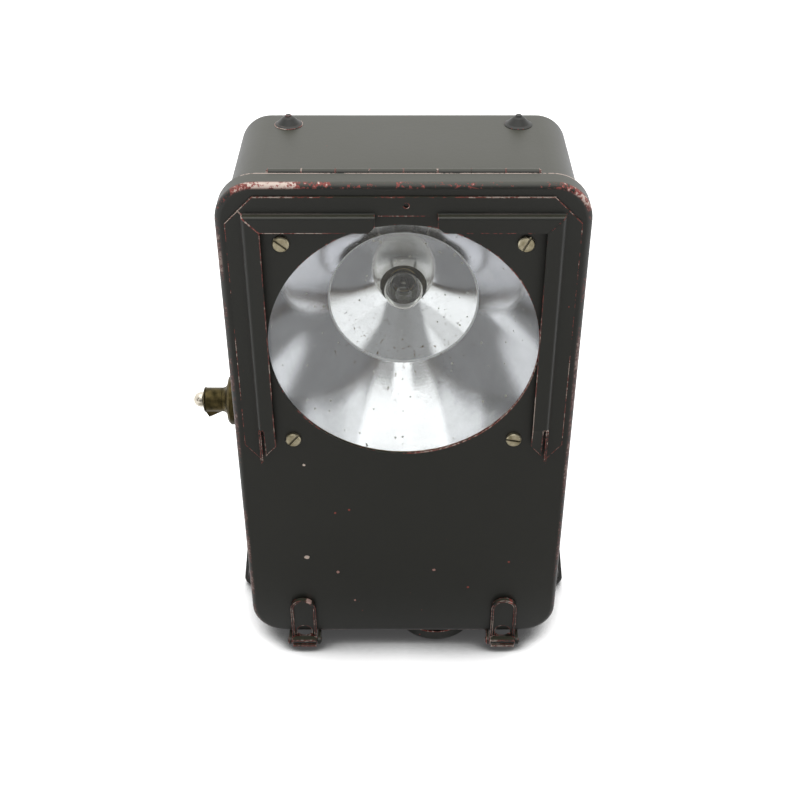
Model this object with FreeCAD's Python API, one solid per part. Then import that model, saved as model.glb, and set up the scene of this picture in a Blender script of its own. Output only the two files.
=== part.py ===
import FreeCAD, Part
import math
import os

# A flat pocket signal lamp for flashing code, in millimetres.
# Lamp frame: X is across the lamp with 0 on its middle plane, Y runs back from the cover's face,
# and Z rises from the surface that the lamp stands on. Every shape is moved at the end, so that the
# origin is the centre of the pole socket's mouth, under the case.

# How far a cutting shape runs past the surface that it cuts, and how long a drilled hole's tool is.
overcut = 1.0
drill_length = 5.0

# Front cover: a shallow pressed tray, hinged along its top edge.
cover_side_margin = 3.1
cover_top_margin = 3.7
cover_bottom = 6.4
cover_depth = 7.5
cover_corner = 12.0
cover_edge_round = 2.0
cover_sheet = 0.8

# Rear case: a deep drawn box whose mouth tucks inside the cover.
case_inset = 2.4
case_mouth = 3.0
case_back = 60.0
case_corner = 10.0
case_back_round = 5.0
case_sheet = 0.8

# Seal between the cover and the mouth of the case.
seal_width = 4.4
seal_edge_gap = 0.4
seal_gap = 0.2

# Window, reflector and the frame that clamps them.
aperture_radius = 42.0
glass_overlap = 2.5
glass_thickness = 1.6
gasket_thickness = 0.6
gasket_relief = 0.3
rim_overlap = 1.0
crease_radius = 24.5
crease_depth = 29.0
neck_radius = 7.8
neck_depth = 37.7
neck_length = 3.3
flange_width = 2.3
reflector_sheet = 0.5
frame_rim = 1.9
frame_corner = 10.0
frame_sheet = 1.0
frame_hole_gap = 0.6

# How far the battery's top stays below the reflector's flange.
battery_headroom = 3.0

# Cheese-head screws that pull the clamp frame to the cover.
spacer_gap = 3.1
screw_radius = 1.3
screw_hole_gap = 0.1
screw_head_radius = 2.5
screw_head_height = 1.2
screw_head_bevel = 0.3
screw_turns = (130, 40, 10, 117)
screw_slot_width = 0.7
screw_slot_depth = 0.6
screw_length = 7.3
spacer_radius = 2.5
nut_flats = 5.0
nut_height = 2.0
fit_gap = 0.05

# Filter guides: folded strips that leave a channel for a slide-in colour filter.
guide_sheet = 0.7
guide_height = 3.0
guide_fold_radius = 1.0
guide_root_radius = 0.4
guide_side_gap = 4.8
guide_flange = 5.1
guide_lip = 5.1
guide_top_gap = 3.8
guide_flange_rise = 5.3
guide_drop = 44.1
guide_point = 6.2
guide_stop_length = 13.4
guide_stop_rise = 0.5
guide_stop_flat = 3.0
guide_slot_width = 0.9
guide_corner_cut_in = 3.3
guide_miter_gap = 0.1
lip_gap_centre = 0.8
lip_gap_width = 18.2
lip_gap_chamfer = 2.0
catch_hole_radius = 0.8

# Hinge along the top.
hinge_length = 79.0
hinge_knuckles = 8
hinge_barrel = 1.4
hinge_pin_radius = 0.6
hinge_gap = 0.15
hinge_lift = 0.25
hinge_setback = 0.2
hinge_sheet = 0.6
hinge_leaf_start = 3.3
hinge_leaf_depth = 9.0
pin_head_radius = 1.1
pin_head_height = 0.4

# Bulb and its holder.
globe_radius = 6.5
globe_setback = 2.7
glass_wall = 0.5
bulb_neck = 4.3
cap_radius = 4.75
cap_gap = 0.3
cap_length = 8.5
cap_threads = 4
cap_thread_rise = 0.12
cement_cone_length = 1.0
cement_cone_rim = 0.3
filler_depth = 1.8
tip_radius = 1.6
tip_length = 0.75
filament_forward = 1.0
filament_span = 2.2
filament_radius = 0.12
filament_end = 0.3
support_radius = 0.2
support_bend_radius = 0.23
support_spread = 1.1
support_knee = 4.5
bead_radius = 0.6
bead_half_length = 0.9
bead_rise = 3.0
holder_wall = 1.0
holder_cup_setback = 0.8
holder_cup_wall = 0.95
holder_thread_gap = 0.2
holder_floor = 1.0
holder_tail_gap = 0.05
insulator_thickness = 1.5
tail_head_radius = 2.4
tail_head_height = 0.9
tail_shank_radius = 1.6

# Conical studs on top of the case.
stud_inset = 18.6
stud_depth = 48.5
stud_base_radius = 4.5
stud_height = 3.2
stud_cone_height = 2.3
stud_neck_radius = 1.9
stud_tip_radius = 1.25
stud_tip_round = 0.5
stud_brim_radius = 3.6
stud_brim_height = 0.6
stud_edge_height = 0.15
stud_shank_radius = 1.3
stud_clinch_radius = 2.5
stud_clinch_height = 0.6

# Pole socket under the case.
socket_x = 11.9
socket_y = 15.7
boss_radius = 14.7
boss_height = 5.6
boss_round = 2.5
boss_neck_radius = 7.4
spigot_radius = 5.5
spigot_rise = 5.0
thread_radius = 3.175
thread_depth = 12.0
socket_nut_flats = 17.0
socket_nut_height = 4.0

# Two spring latches that hold the cover's lower edge.
latch_inset = 18.6
latch_width = 9.0
latch_top = 24.2
latch_gap = 0.3
latch_sheet = 0.7
latch_rim = 0.8
latch_rim_wall = 0.8
latch_barrel = 1.5
latch_pin_radius = 0.7
latch_pin_y = -1.8
latch_pin_z = 4.2
latch_side_gap = 0.3
latch_rim_start = 1.2
latch_lip_reach = 2.1
latch_lip_inset = 0.3
latch_ledge_setback = 0.4
latch_window_width = 5.6
latch_window_low = 6.2
latch_window_high = 8.0
ear_thickness = 1.0
ear_radius = 1.7
ear_back = 14.0
ear_step = 8.4
ear_foot = 2.5
ear_slope = 4.0
peen_radius = 1.3
peen_height = 0.5
bracket_sheet = 1.0
bracket_front = 9.5
bracket_back = 24.0
bracket_rivet_ys = (13.0, 20.5)

# Carrying bail, which is also the lamp's rear foot.
bail_pivot_y = 38.0
bail_pivot_z = 68.0
bail_flare = 7.7
bail_sheet = 1.4
bail_width = 4.5
bail_corner = 4.0
bail_straight = 8.0
bail_eye_radius = 3.2
bail_side_gap = 0.1
bail_stop_gap = 0.3
washer_thickness = 0.7
washer_radius = 3.0
pivot_radius = 1.5
pivot_head_radius = 3.2
pivot_head_height = 1.2
pivot_tail_radius = 2.6
pivot_tail_height = 0.8

# Flat three-cell battery, its tray and the spring in the cover that steadies it.
battery_width = 62.0
battery_thickness = 22.0
battery_height = 67.0
battery_round = 2.0
battery_front = 12.0
tray_sheet = 1.0
tray_nut_gap = 2.4
tray_depth = 13.0
tray_gap = 0.3
tray_foot = 7.0
tray_foot_front = 25.0
press_spring_sheet = 0.5
press_spring_width = 16.0
press_spring_gap = 0.3
press_spring_rise = 35.0
press_spring_span = 48.0
press_spring_foot = 8.0
press_spring_tail_lift = 0.3
terminal_offset = 15.0
terminal_width = 6.0
terminal_sheet = 0.4
terminal_setback = 6.0
terminal_foot = 2.0
terminal_bend = 6.0
terminal_rise = 13.0

# Contact board and the strips that carry the current.
board_half_width = 30.0
board_sheet = 1.5
board_setback = 3.0
board_drop = 2.0
board_height = 18.0
contact_sheet = 0.5
contact_width = 7.0
contact_gap = 0.3
contact_bow = 1.0
contact_bend = 2.0
contact_tail = 6.0
contact_tail_lift = 0.3
strip_sheet = 0.6
strip_rise = 6.5
strip_height = 8.5
strip_rivet_rise = 5.5
strip_width = 8.0
finger_width = 6.0
finger_gap = 0.3
finger_length = 24.3
finger_pad = 2.0
finger_tail_gap = 0.4
insulator_sheet = 0.8
insulator_margin = 2.0
insulator_left = 6.0
insulator_below = 4.0
insulator_above = 14.0
insulator_arm_gap = 0.5
bracket_arm_sheet = 0.8
bracket_arm_x = 26.0
bracket_arm_width = 7.0
bracket_arm_rise = 0.5
bracket_arm_front_rise = 7.0
bracket_arm_back_rise = 10.0
board_rivet_rise = 4.0
back_rivet_rise = 5.5
rivet_radius = 0.9
rivet_head_radius = 1.8
rivet_head_height = 0.6
head_taper = 0.7

# Signal key on the left side.
key_y = 27.0
key_rise = 2.3
key_disc_radius = 8.75
key_disc_reach = 7.6
key_disc_round = 0.8
key_flare_reach = 9.9
key_neck_radius = 4.2
key_spigot_radius = 3.25
key_spigot_reach = 12.2
key_tail_radius = 4.0
key_tail_length = 3.1
key_bore_depth = 6.4
key_bore_radius = 2.8
key_nut_flats = 11.0
key_nut_height = 2.0
key_leaf_half = 6.0
key_running_gap = 0.06
key_stop_gap = 0.1
collar_reach = 16.3
collar_gap = 0.1
collar_bead_rise = 0.25
collar_bead_length = 0.8
collar_mouth_bevel = 0.2
collar_vane_drop = 6.7
collar_vane_thickness = 2.4
collar_vane_tip = 15.1
collar_vane_root = 0.3
ball_radius = 2.65
ball_reach = 17.4
stem_radius = 1.5
stem_collar_radius = 2.6
stem_collar_length = 1.0
stem_tip = 0.6
key_stroke = 2.2
key_contact_gap = 0.3
retainer_thickness = 1.0
retainer_gap = 0.1
spring_wire = 0.25
spring_radius = 2.15
spring_turns = 4

# Places worked out from the sizes above: across the lamp first, then up from the floor.
rim_radius = aperture_radius + rim_overlap
flange_radius = rim_radius + flange_width
frame_hole = rim_radius + reflector_sheet + frame_hole_gap
frame_size = 2 * (frame_hole + frame_rim)
screw_offset = (flange_radius + spacer_radius + spacer_gap) / math.sqrt(2)
guide_riser_x = aperture_radius + guide_side_gap
cover_width = 2 * (guide_riser_x + guide_flange + cover_side_margin)
stud_offset = cover_width / 2 - stud_inset
latch_offset = cover_width / 2 - latch_inset
case_half = cover_width / 2 - case_inset
case_inner_half = case_half - case_sheet
key_face = -case_half
bail_eye_x = case_half + washer_thickness + bail_side_gap + bail_sheet
bail_half_width = bail_eye_x + bail_flare

case_bottom = cover_bottom + case_inset
case_floor = case_bottom + case_sheet
tray_floor = case_floor + socket_nut_height + tray_nut_gap
battery_floor = tray_floor + tray_sheet
battery_top = battery_floor + battery_height
lamp_z = battery_top + battery_headroom + flange_radius
guide_top = lamp_z + aperture_radius + guide_top_gap
guide_tip = lamp_z - guide_drop
guide_lip_end = guide_tip + guide_point
guide_stop_bend = guide_tip + guide_stop_length
guide_corner_cut = guide_riser_x - guide_corner_cut_in
cover_top = guide_top + guide_flange_rise + cover_top_margin
case_top = cover_top - case_inset
case_ceiling = case_top - case_sheet
hinge_z = case_top + hinge_lift + hinge_barrel
board_bottom = battery_top - board_drop
board_top = board_bottom + board_height
bracket_arm_bottom = board_bottom + bracket_arm_rise
strip_low = battery_top + strip_rise
strip_high = strip_low + strip_height
strip_rivet_z = strip_low + strip_rivet_rise
key_z = strip_low + key_rise
finger_arm_low = lamp_z - finger_length
press_spring_height = battery_floor + press_spring_rise

glass_radius = aperture_radius + glass_overlap
glass_front = cover_sheet + gasket_thickness
flange_front = glass_front + glass_thickness
frame_front = flange_front + reflector_sheet
frame_back = frame_front + frame_sheet
hinge_y = cover_depth + hinge_setback + hinge_barrel
case_back_inner = case_back - case_sheet
neck_end = neck_depth + neck_length
globe_depth = neck_depth - globe_setback
filament_depth = globe_depth - filament_forward
cap_front = neck_end + cap_gap
cap_back = cap_front + cap_length
filler_front = cap_front + filler_depth
cone_end = cap_back + cement_cone_length
tip_end = cone_end + tip_length
tail_front = tip_end + holder_tail_gap
holder_end = tail_front + tail_head_height
insulator_back = holder_end + insulator_thickness
tail_end = insulator_back + tail_head_height
battery_back = battery_front + battery_thickness
board_front = battery_back + board_setback
board_back = board_front + board_sheet


def vec(x, y, z):
    return FreeCAD.Vector(x, y, z)


AXIS_X = vec(1, 0, 0)
AXIS_Y = vec(0, 1, 0)
AXIS_Z = vec(0, 0, 1)
optic_axis = vec(0, 0, lamp_z)
key_axis = vec(0, key_y, key_z)


def block(x0, x1, y0, y1, z0, z1):
    return Part.makeBox(x1 - x0, y1 - y0, z1 - z0, vec(x0, y0, z0))


def rod(radius, start, end):
    return Part.makeCylinder(radius, (end - start).Length, start, end - start)


def tube(outer, inner, start, end):
    return rod(outer, start, end).cut(rod(inner, start, end))


def drill(radius, place, axis):
    """The shape of a hole through sheet, from a little before the place and along the axis."""
    start = place - axis * overcut
    return rod(radius, start, start + axis * drill_length)


def prism(points, sweep):
    """A straight bar whose end face is the closed outline through the points."""
    outline = Part.makePolygon(points + [points[0]])
    return Part.Face(outline).extrude(sweep)


def edges_along(shape, axis):
    """The straight edges that run along an axis."""
    straight = [e for e in shape.Edges if isinstance(e.Curve, (Part.Line, Part.LineSegment))]
    return [e for e in straight if abs(e.tangentAt(e.FirstParameter).dot(axis)) > 0.999]


def edges_at_y(shape, y):
    """The edges that lie wholly in the plane at this depth."""
    return [e for e in shape.Edges if abs(e.BoundBox.YMin - y) < 0.001 and abs(e.BoundBox.YMax - y) < 0.001]


def edges_on_line(shape, point, axis):
    """The straight edges that lie on the line through a point along an axis."""
    return [e for e in edges_along(shape, axis) if (e.CenterOfMass - point).cross(axis).Length < 0.001]


def rounded_slab(half_width, z0, z1, y0, y1, corner):
    """A plate square to Y with its four corners rounded."""
    slab = block(-half_width, half_width, y0, y1, z0, z1)
    return slab.makeFillet(corner, edges_along(slab, AXIS_Y))


def turned(points, origin, axis, side):
    """A solid turned about an axis; each point is a radius and a distance along the axis."""
    corners = [origin + side * radius + axis * along for radius, along in points]
    profile = Part.Face(Part.makePolygon(corners + [corners[0]]))
    solid = profile.revolve(origin, axis, 360)
    if solid.Volume < 0:
        solid.reverse()
    return solid


def turned_y(points, origin=optic_axis):
    return turned(points, origin, AXIS_Y, AXIS_X)


def turned_x(points, origin=key_axis):
    """Turned about the key's axis; distances run outward from the side of the case."""
    return turned([(radius, key_face - reach) for radius, reach in points], origin, AXIS_X, AXIS_Z)


def hexagon(flats, height, centre, axis, side):
    """A hexagonal prism with its axis through the centre."""
    corner = flats / math.sqrt(3)
    across = axis.cross(side)
    turns = [math.radians(60 * i) for i in range(6)]
    points = [centre + side * (corner * math.cos(a)) + across * (corner * math.sin(a)) for a in turns]
    return prism(points, axis * height)


def ribbon(path, thickness, width, to_point, across):
    """A bent strip: flat runs along the path, joined by rounded bends."""
    strip = None
    for (a0, b0), (a1, b1) in zip(path, path[1:]):
        length = math.hypot(a1 - a0, b1 - b0)
        na = -(b1 - b0) / length * thickness / 2
        nb = (a1 - a0) / length * thickness / 2
        corners = [(a0 + na, b0 + nb), (a1 + na, b1 + nb), (a1 - na, b1 - nb), (a0 - na, b0 - nb)]
        run = prism([to_point(a, b) for a, b in corners], across * width)
        strip = run if strip is None else strip.fuse(run)
    for a, b in path[1:-1]:
        strip = strip.fuse(rod(thickness / 2, to_point(a, b), to_point(a, b) + across * width))
    return strip.removeSplitter()


def ribbon_yz(path, thickness, x0, width):
    """A strip bent in the YZ plane, starting at x0 and as wide as width."""
    return ribbon(path, thickness, width, lambda y, z: vec(x0, y, z), AXIS_X)


def joined(solids):
    return Part.makeCompound(solids)


def mirrored(shape):
    """The same piece on the other side of the lamp's middle plane."""
    return shape.mirror(vec(0, 0, 0), AXIS_X)


def both_sides(shape):
    return joined([shape, mirrored(shape)])


def screw_places():
    return [(x, lamp_z + z) for x in (-screw_offset, screw_offset) for z in (-screw_offset, screw_offset)]


def rivet(centre, axis, grip):
    """A rivet with a head on each face; centre is where the outer head meets the outer face."""
    side = AXIS_X if axis == AXIS_Z else AXIS_Z
    crown = rivet_head_radius * head_taper
    back = grip + rivet_head_height
    points = [(0, -rivet_head_height), (crown, -rivet_head_height), (rivet_head_radius, 0)]
    points += [(rivet_radius, 0), (rivet_radius, grip)]
    points += [(rivet_head_radius, grip), (crown, back), (0, back)]
    return turned(points, centre, axis, side)


def rivet_hole(place, axis):
    return drill(rivet_radius + fit_gap, place, axis)


# The cover and what is fixed to its face.

def front_cover():
    outer = rounded_slab(cover_width / 2, cover_bottom, cover_top, 0, cover_depth, cover_corner)
    outer = outer.makeFillet(cover_edge_round, edges_at_y(outer, 0))
    half = cover_width / 2 - cover_sheet
    inner_round = cover_edge_round - cover_sheet
    inner = rounded_slab(
        half, cover_bottom + cover_sheet, cover_top - cover_sheet,
        cover_sheet, cover_depth + overcut, cover_corner - cover_sheet)
    inner = inner.makeFillet(inner_round, edges_at_y(inner, cover_sheet))
    tray = outer.cut(inner)
    tray = tray.cut(drill(aperture_radius, optic_axis, AXIS_Y))
    for x, z in screw_places():
        tray = tray.cut(drill(screw_radius + screw_hole_gap, vec(x, 0, z), AXIS_Y))
    return tray


def cover_seal():
    """A flat ring on the cover's inner face that the mouth of the case closes on."""
    edge = cover_edge_round + seal_edge_gap
    half = cover_width / 2 - edge
    back = case_mouth - seal_gap
    corner = cover_corner - edge
    outer = rounded_slab(half, cover_bottom + edge, cover_top - edge, cover_sheet, back, corner)
    inner = rounded_slab(
        half - seal_width, cover_bottom + edge + seal_width, cover_top - edge - seal_width,
        cover_sheet - overcut, back + overcut, corner - seal_width)
    return outer.cut(inner)


def guide_mask(side):
    """The wedge beyond the 45 degree mitre that parts a side guide from the top guide."""
    inner_x = guide_riser_x - guide_lip - overcut
    inner_z = guide_top - guide_lip - overcut - guide_miter_gap
    reach = cover_width / 2
    low = -guide_height - overcut
    corner = [vec(inner_x, low, inner_z), vec(inner_x + reach, low, inner_z + reach)]
    corner += [vec(inner_x + reach, low, guide_tip - reach), vec(inner_x, low, guide_tip - reach)]
    wedge = prism(corner, AXIS_Y * (guide_height + 2 * overcut))
    return wedge if side > 0 else mirrored(wedge)


def guide_outline_cut():
    """The 45 degree cut across the flange's upper outer corner."""
    low = -guide_height - overcut
    top = guide_top + guide_flange_rise + overcut
    start = guide_corner_cut - overcut
    reach = cover_width / 2
    corner = [vec(start, low, top), vec(start + reach, low, top), vec(start + reach, low, top - reach)]
    return prism(corner, AXIS_Y * (guide_height + 2 * overcut))


def folded_guide(outer, channel, flange, fold, root, axis):
    """A strip bent twice: it stands up from its flange at the root and folds over the channel."""
    strip = outer.makeFillet(guide_fold_radius, edges_on_line(outer, fold, axis)).cut(channel)
    strip = strip.fuse(flange).removeSplitter()
    return strip.makeFillet(guide_root_radius, edges_on_line(strip, root, axis))


def side_guide():
    """The right guide: flange on the cover, riser, lip over the channel and a bent-down stop."""
    lip_in = guide_riser_x - guide_lip
    flange_out = guide_riser_x + guide_flange
    top = guide_top + guide_flange_rise
    riser_in = guide_riser_x - guide_sheet
    flange = block(riser_in, flange_out, -guide_sheet, 0, guide_tip, top)
    flange = flange.fuse(block(riser_in, guide_riser_x, -guide_height, 0, guide_tip, guide_stop_bend))
    outer = block(lip_in, guide_riser_x, -guide_height, 0, guide_stop_bend, top)
    lip_back = guide_sheet - guide_height
    low = guide_stop_bend - overcut
    channel = block(lip_in - overcut, riser_in, lip_back, overcut, low, top + overcut)
    fold = vec(guide_riser_x, -guide_height, top)
    root = vec(guide_riser_x, -guide_sheet, top)
    strip = folded_guide(outer, channel, flange, fold, root, AXIS_Z)
    strip = strip.common(guide_mask(1)).cut(guide_outline_cut())

    stop_low = guide_tip + guide_stop_rise
    mid = guide_sheet / 2
    path = [(mid - guide_height, guide_stop_bend + guide_sheet), (mid - guide_height, guide_stop_bend)]
    path += [(-mid - guide_sheet, stop_low + guide_stop_flat), (-mid - guide_sheet, stop_low)]
    stop = ribbon_yz(path, guide_sheet, lip_in, guide_lip - guide_sheet - guide_slot_width)
    strip = strip.fuse(stop)

    front = -guide_height - overcut
    low = guide_tip - overcut
    tip = vec(guide_riser_x, front, guide_tip)
    foot = vec(guide_riser_x, front, low)
    for edge, width, way in ((lip_in, guide_lip, -1), (flange_out, guide_flange, 1)):
        slope = (guide_lip_end - guide_tip) / width
        beyond = edge + way * overcut
        high = guide_lip_end + slope * overcut
        cut = [tip, vec(beyond, front, high), vec(beyond, front, low), foot]
        strip = strip.cut(prism(cut, AXIS_Y * (guide_height + 2 * overcut)))
    return strip.removeSplitter()


def top_guide():
    """The top guide: one flange, with its lip left open in the middle for the filter's tab."""
    half = guide_riser_x + guide_flange
    riser_low = guide_top - guide_sheet
    lip_low = guide_top - guide_lip
    flange_top = guide_top + guide_flange_rise
    flange = block(-half, half, -guide_sheet, 0, riser_low, flange_top)
    outer = block(-half, half, -guide_height, 0, lip_low, guide_top)
    lip_back = guide_sheet - guide_height
    wide = half + overcut
    channel = block(-wide, wide, lip_back, overcut, lip_low - overcut, riser_low)
    fold = vec(0, -guide_height, guide_top)
    root = vec(0, -guide_sheet, guide_top)
    strip = folded_guide(outer, channel, flange, fold, root, AXIS_X)
    for side in (-1, 1):
        strip = strip.cut(guide_mask(side).translated(AXIS_Z * guide_miter_gap))
        cut = guide_outline_cut()
        strip = strip.cut(cut if side > 0 else mirrored(cut))
    front = -guide_height - overcut
    left = lip_gap_centre - lip_gap_width / 2
    right = lip_gap_centre + lip_gap_width / 2
    bend = lip_low + lip_gap_chamfer
    spread = lip_gap_chamfer + overcut
    high = guide_top + guide_root_radius + overcut
    opening = [vec(left, front, high), vec(right, front, high)]
    opening += [vec(right, front, bend), vec(right + spread, front, bend - spread)]
    opening += [vec(left - spread, front, bend - spread), vec(left, front, bend)]
    strip = strip.cut(prism(opening, AXIS_Y * (guide_height + overcut - guide_sheet)))
    catch = vec(lip_gap_centre, -guide_sheet, guide_top + guide_flange_rise / 2)
    return strip.cut(drill(catch_hole_radius, catch, AXIS_Y)).removeSplitter()


def window_gasket():
    inner = aperture_radius + gasket_relief
    return tube(glass_radius, inner, vec(0, cover_sheet, lamp_z), vec(0, glass_front, lamp_z))


def window_glass():
    return rod(glass_radius, vec(0, glass_front, lamp_z), vec(0, flange_front, lamp_z))


def bowl_points(start, end, offset, steps=10):
    """Points on the parabola through two (radius, depth) points, moved outward by the offset."""
    (r0, y0), (r1, y1) = start, end
    focal = (r0 ** 2 - r1 ** 2) / (y1 - y0)
    points = []
    for i in range(steps + 1):
        y = y0 + (y1 - y0) * i / steps
        r = math.sqrt(r0 ** 2 - focal * (y - y0))
        normal = math.hypot(2 * r, focal)
        points.append((r + offset * 2 * r / normal, y + offset * focal / normal))
    return points


def bowl_edge(points):
    curve = Part.BSplineCurve()
    curve.interpolate([vec(r, y, lamp_z) for r, y in points])
    return curve.toShape()


def reflector():
    """Two bowls in one spinning: a deep outer one, and past a sharp crease a flatter inner one."""
    rim = (rim_radius, flange_front)
    crease = (crease_radius, crease_depth)
    neck = (neck_radius, neck_depth)
    flange_back = flange_front + reflector_sheet
    inside = [bowl_points(rim, crease, 0), bowl_points(crease, neck, 0)]
    outside = [bowl_points(rim, crease, reflector_sheet), bowl_points(crease, neck, reflector_sheet)]
    # The outside of the bowl starts where it leaves the back of the flange.
    (r0, y0), (r1, y1) = outside[0][:2]
    outside[0][0] = (r0 + (r1 - r0) * (flange_back - y0) / (y1 - y0), flange_back)
    neck_outer = neck_radius + reflector_sheet
    while outside[1][-1][0] < neck_outer:
        outside[1].pop()
    corners = [inside[1][-1], (neck_radius, neck_end), (neck_outer, neck_end)]
    corners += [(neck_outer, outside[1][-1][1]), outside[1][-1]]
    edges = [bowl_edge(inside[0]), bowl_edge(inside[1])]
    edges += lines_through(corners)
    edges.append(bowl_edge(outside[1]))
    edges += lines_through([outside[1][0], outside[0][-1]])
    edges.append(bowl_edge(outside[0]))
    edges += lines_through([outside[0][0], (flange_radius, flange_back), (flange_radius, flange_front), rim])
    profile = Part.Face(Part.Wire(Part.__sortEdges__(edges)))
    return profile.revolve(optic_axis, AXIS_Y, 360)


def lines_through(points):
    """Straight edges from each (radius, depth) point to the next."""
    pairs = [(a, b) for a, b in zip(points, points[1:]) if math.dist(a, b) > 1e-6]
    return [Part.makeLine(vec(a[0], a[1], lamp_z), vec(b[0], b[1], lamp_z)) for a, b in pairs]


def clamp_frame():
    """A square frame that presses the reflector's flange, the glass and its gasket to the cover."""
    half = frame_size / 2
    plate = rounded_slab(half, lamp_z - half, lamp_z + half, frame_front, frame_back, frame_corner)
    plate = plate.cut(drill(frame_hole, vec(0, frame_front, lamp_z), AXIS_Y))
    for x, z in screw_places():
        plate = plate.cut(drill(screw_radius + screw_hole_gap, vec(x, frame_front, z), AXIS_Y))
    return plate


def clamp_spacers():
    inner = screw_radius + screw_hole_gap
    return joined([
        tube(spacer_radius, inner, vec(x, cover_sheet, z), vec(x, frame_front, z))
        for x, z in screw_places()])


def clamp_screws():
    """Slotted screws, left with their slots at odd angles as tightened."""
    screws = []
    reach = screw_head_radius + overcut
    for turn, (x, z) in zip(screw_turns, screw_places()):
        head = turned_y([
            (0, -screw_head_height), (screw_head_radius - screw_head_bevel, -screw_head_height),
            (screw_head_radius, screw_head_bevel - screw_head_height), (screw_head_radius, 0),
            (screw_radius, 0), (screw_radius, screw_length), (0, screw_length)], vec(x, 0, z))
        slot = block(
            x - reach, x + reach, -screw_head_height - overcut, screw_slot_depth - screw_head_height,
            z - screw_slot_width / 2, z + screw_slot_width / 2)
        slot.rotate(vec(x, 0, z), AXIS_Y, turn)
        screws.append(head.cut(slot))
    return joined(screws)


def clamp_nuts():
    nuts = []
    for x, z in screw_places():
        nut = hexagon(nut_flats, nut_height, vec(x, frame_back, z), AXIS_Y, AXIS_X)
        nuts.append(nut.cut(drill(screw_radius + fit_gap, vec(x, frame_back, z), AXIS_Y)))
    return joined(nuts)


# The bulb and its holder, on the back of the reflector.

def bulb_glass():
    """A thin blown globe with an open neck that the cap is cemented to."""
    globe = Part.makeSphere(globe_radius, vec(0, globe_depth, lamp_z))
    globe = globe.fuse(rod(bulb_neck, vec(0, globe_depth, lamp_z), vec(0, filler_front, lamp_z)))
    hollow = Part.makeSphere(globe_radius - glass_wall, vec(0, globe_depth, lamp_z))
    bore = bulb_neck - glass_wall
    hollow = hollow.fuse(rod(bore, vec(0, globe_depth, lamp_z), vec(0, filler_front + overcut, lamp_z)))
    return globe.cut(hollow).removeSplitter()


def bulb_cap():
    """The threaded cap, with rounded thread crests."""
    pitch = cap_length / cap_threads
    profile = [(bulb_neck + fit_gap, cap_front), (cap_radius - cap_thread_rise, cap_front)]
    for i in range(cap_threads):
        crest = cap_front + pitch * (i + 0.5)
        profile.append((cap_radius + cap_thread_rise, crest))
        profile.append((cap_radius - cap_thread_rise, crest + pitch / 2))
    profile.append((bulb_neck + fit_gap, cap_back))
    return turned_y(profile)


def bulb_insulator():
    """Cement that fills the cap and ends in a cone round the tip contact."""
    return turned_y([
        (0, filler_front), (bulb_neck, filler_front), (bulb_neck, cap_back),
        (tip_radius + cement_cone_rim, cone_end), (0, cone_end)])


def bulb_contact():
    """The blob of solder at the tip."""
    crown = tip_radius * head_taper
    return turned_y([(0, cone_end), (tip_radius, cone_end), (crown, tip_end), (0, tip_end)])


def filament_supports():
    """Two stiff wires that rise from the cement and spread to hold the filament."""
    wires = []
    for side in (-1, 1):
        foot = vec(side * support_spread, filler_front, lamp_z)
        knee = vec(side * support_spread, filler_front - support_knee, lamp_z)
        end = vec(side * filament_span, filament_depth, lamp_z)
        bend = Part.makeSphere(support_bend_radius, knee)
        wires.append(bend.fuse([rod(support_radius, foot, knee), rod(support_radius, knee, end)]))
    bead = vec(-bead_half_length, filler_front - bead_rise, lamp_z)
    return joined(wires + [rod(bead_radius, bead, bead + AXIS_X * (2 * bead_half_length))])


def filament():
    reach = filament_span - support_radius + filament_end
    depth = filament_depth - filament_radius - support_radius
    return rod(filament_radius, vec(-reach, depth, lamp_z), vec(reach, depth, lamp_z))


def lamp_holder():
    """A brass holder: a cup over the reflector's neck and a threaded sleeve behind it."""
    cup_inner = neck_radius + reflector_sheet + fit_gap
    cup_outer = cup_inner + holder_cup_wall
    bore = cap_radius + holder_thread_gap
    cup_front = neck_depth + holder_cup_setback
    floor_back = neck_end + holder_floor
    return turned_y([
        (cup_inner, cup_front), (cup_outer, cup_front), (cup_outer, floor_back),
        (bore + holder_wall, floor_back), (bore + holder_wall, holder_end), (bore, holder_end),
        (bore, neck_end), (cup_inner, neck_end)])


def holder_insulator():
    outer = cap_radius + holder_thread_gap + holder_wall
    start = vec(0, holder_end, lamp_z)
    return tube(outer, tail_shank_radius + fit_gap, start, vec(0, insulator_back, lamp_z))


def holder_contact():
    """The tail contact, riveted through the insulating disc."""
    return turned_y([
        (0, tail_front), (tail_head_radius, tail_front), (tail_head_radius, holder_end),
        (tail_shank_radius, holder_end), (tail_shank_radius, insulator_back),
        (tail_head_radius, insulator_back), (tail_head_radius, tail_end), (0, tail_end)])


def battery_press_spring():
    """A bowed leaf, welded inside the cover at its foot, that steadies the battery."""
    low = press_spring_height - press_spring_span / 2
    high = press_spring_height + press_spring_span / 2
    rest = cover_sheet + press_spring_sheet / 2
    crest = battery_front - press_spring_gap - press_spring_sheet / 2
    path = [(rest, low - press_spring_foot)]
    steps = 12
    for i in range(steps + 1):
        share = i / steps
        lift = (1 - math.cos(2 * math.pi * share)) / 2
        out = rest + (crest - rest) * lift + press_spring_tail_lift * share
        path.append((out, low + (high - low) * share))
    return ribbon_yz(path, press_spring_sheet, -press_spring_width / 2, press_spring_width)


# The hinge.

def knuckle_span(index):
    pitch = hinge_length / hinge_knuckles
    start = -hinge_length / 2 + pitch * index
    return start + hinge_gap / 2, start + pitch - hinge_gap / 2


def knuckle(index):
    start, end = knuckle_span(index)
    return rod(hinge_barrel, vec(start, hinge_y, hinge_z), vec(end, hinge_y, hinge_z))


def pin_hole():
    reach = hinge_length / 2 + overcut
    return rod(hinge_pin_radius + fit_gap, vec(-reach, hinge_y, hinge_z), vec(reach, hinge_y, hinge_z))


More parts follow.
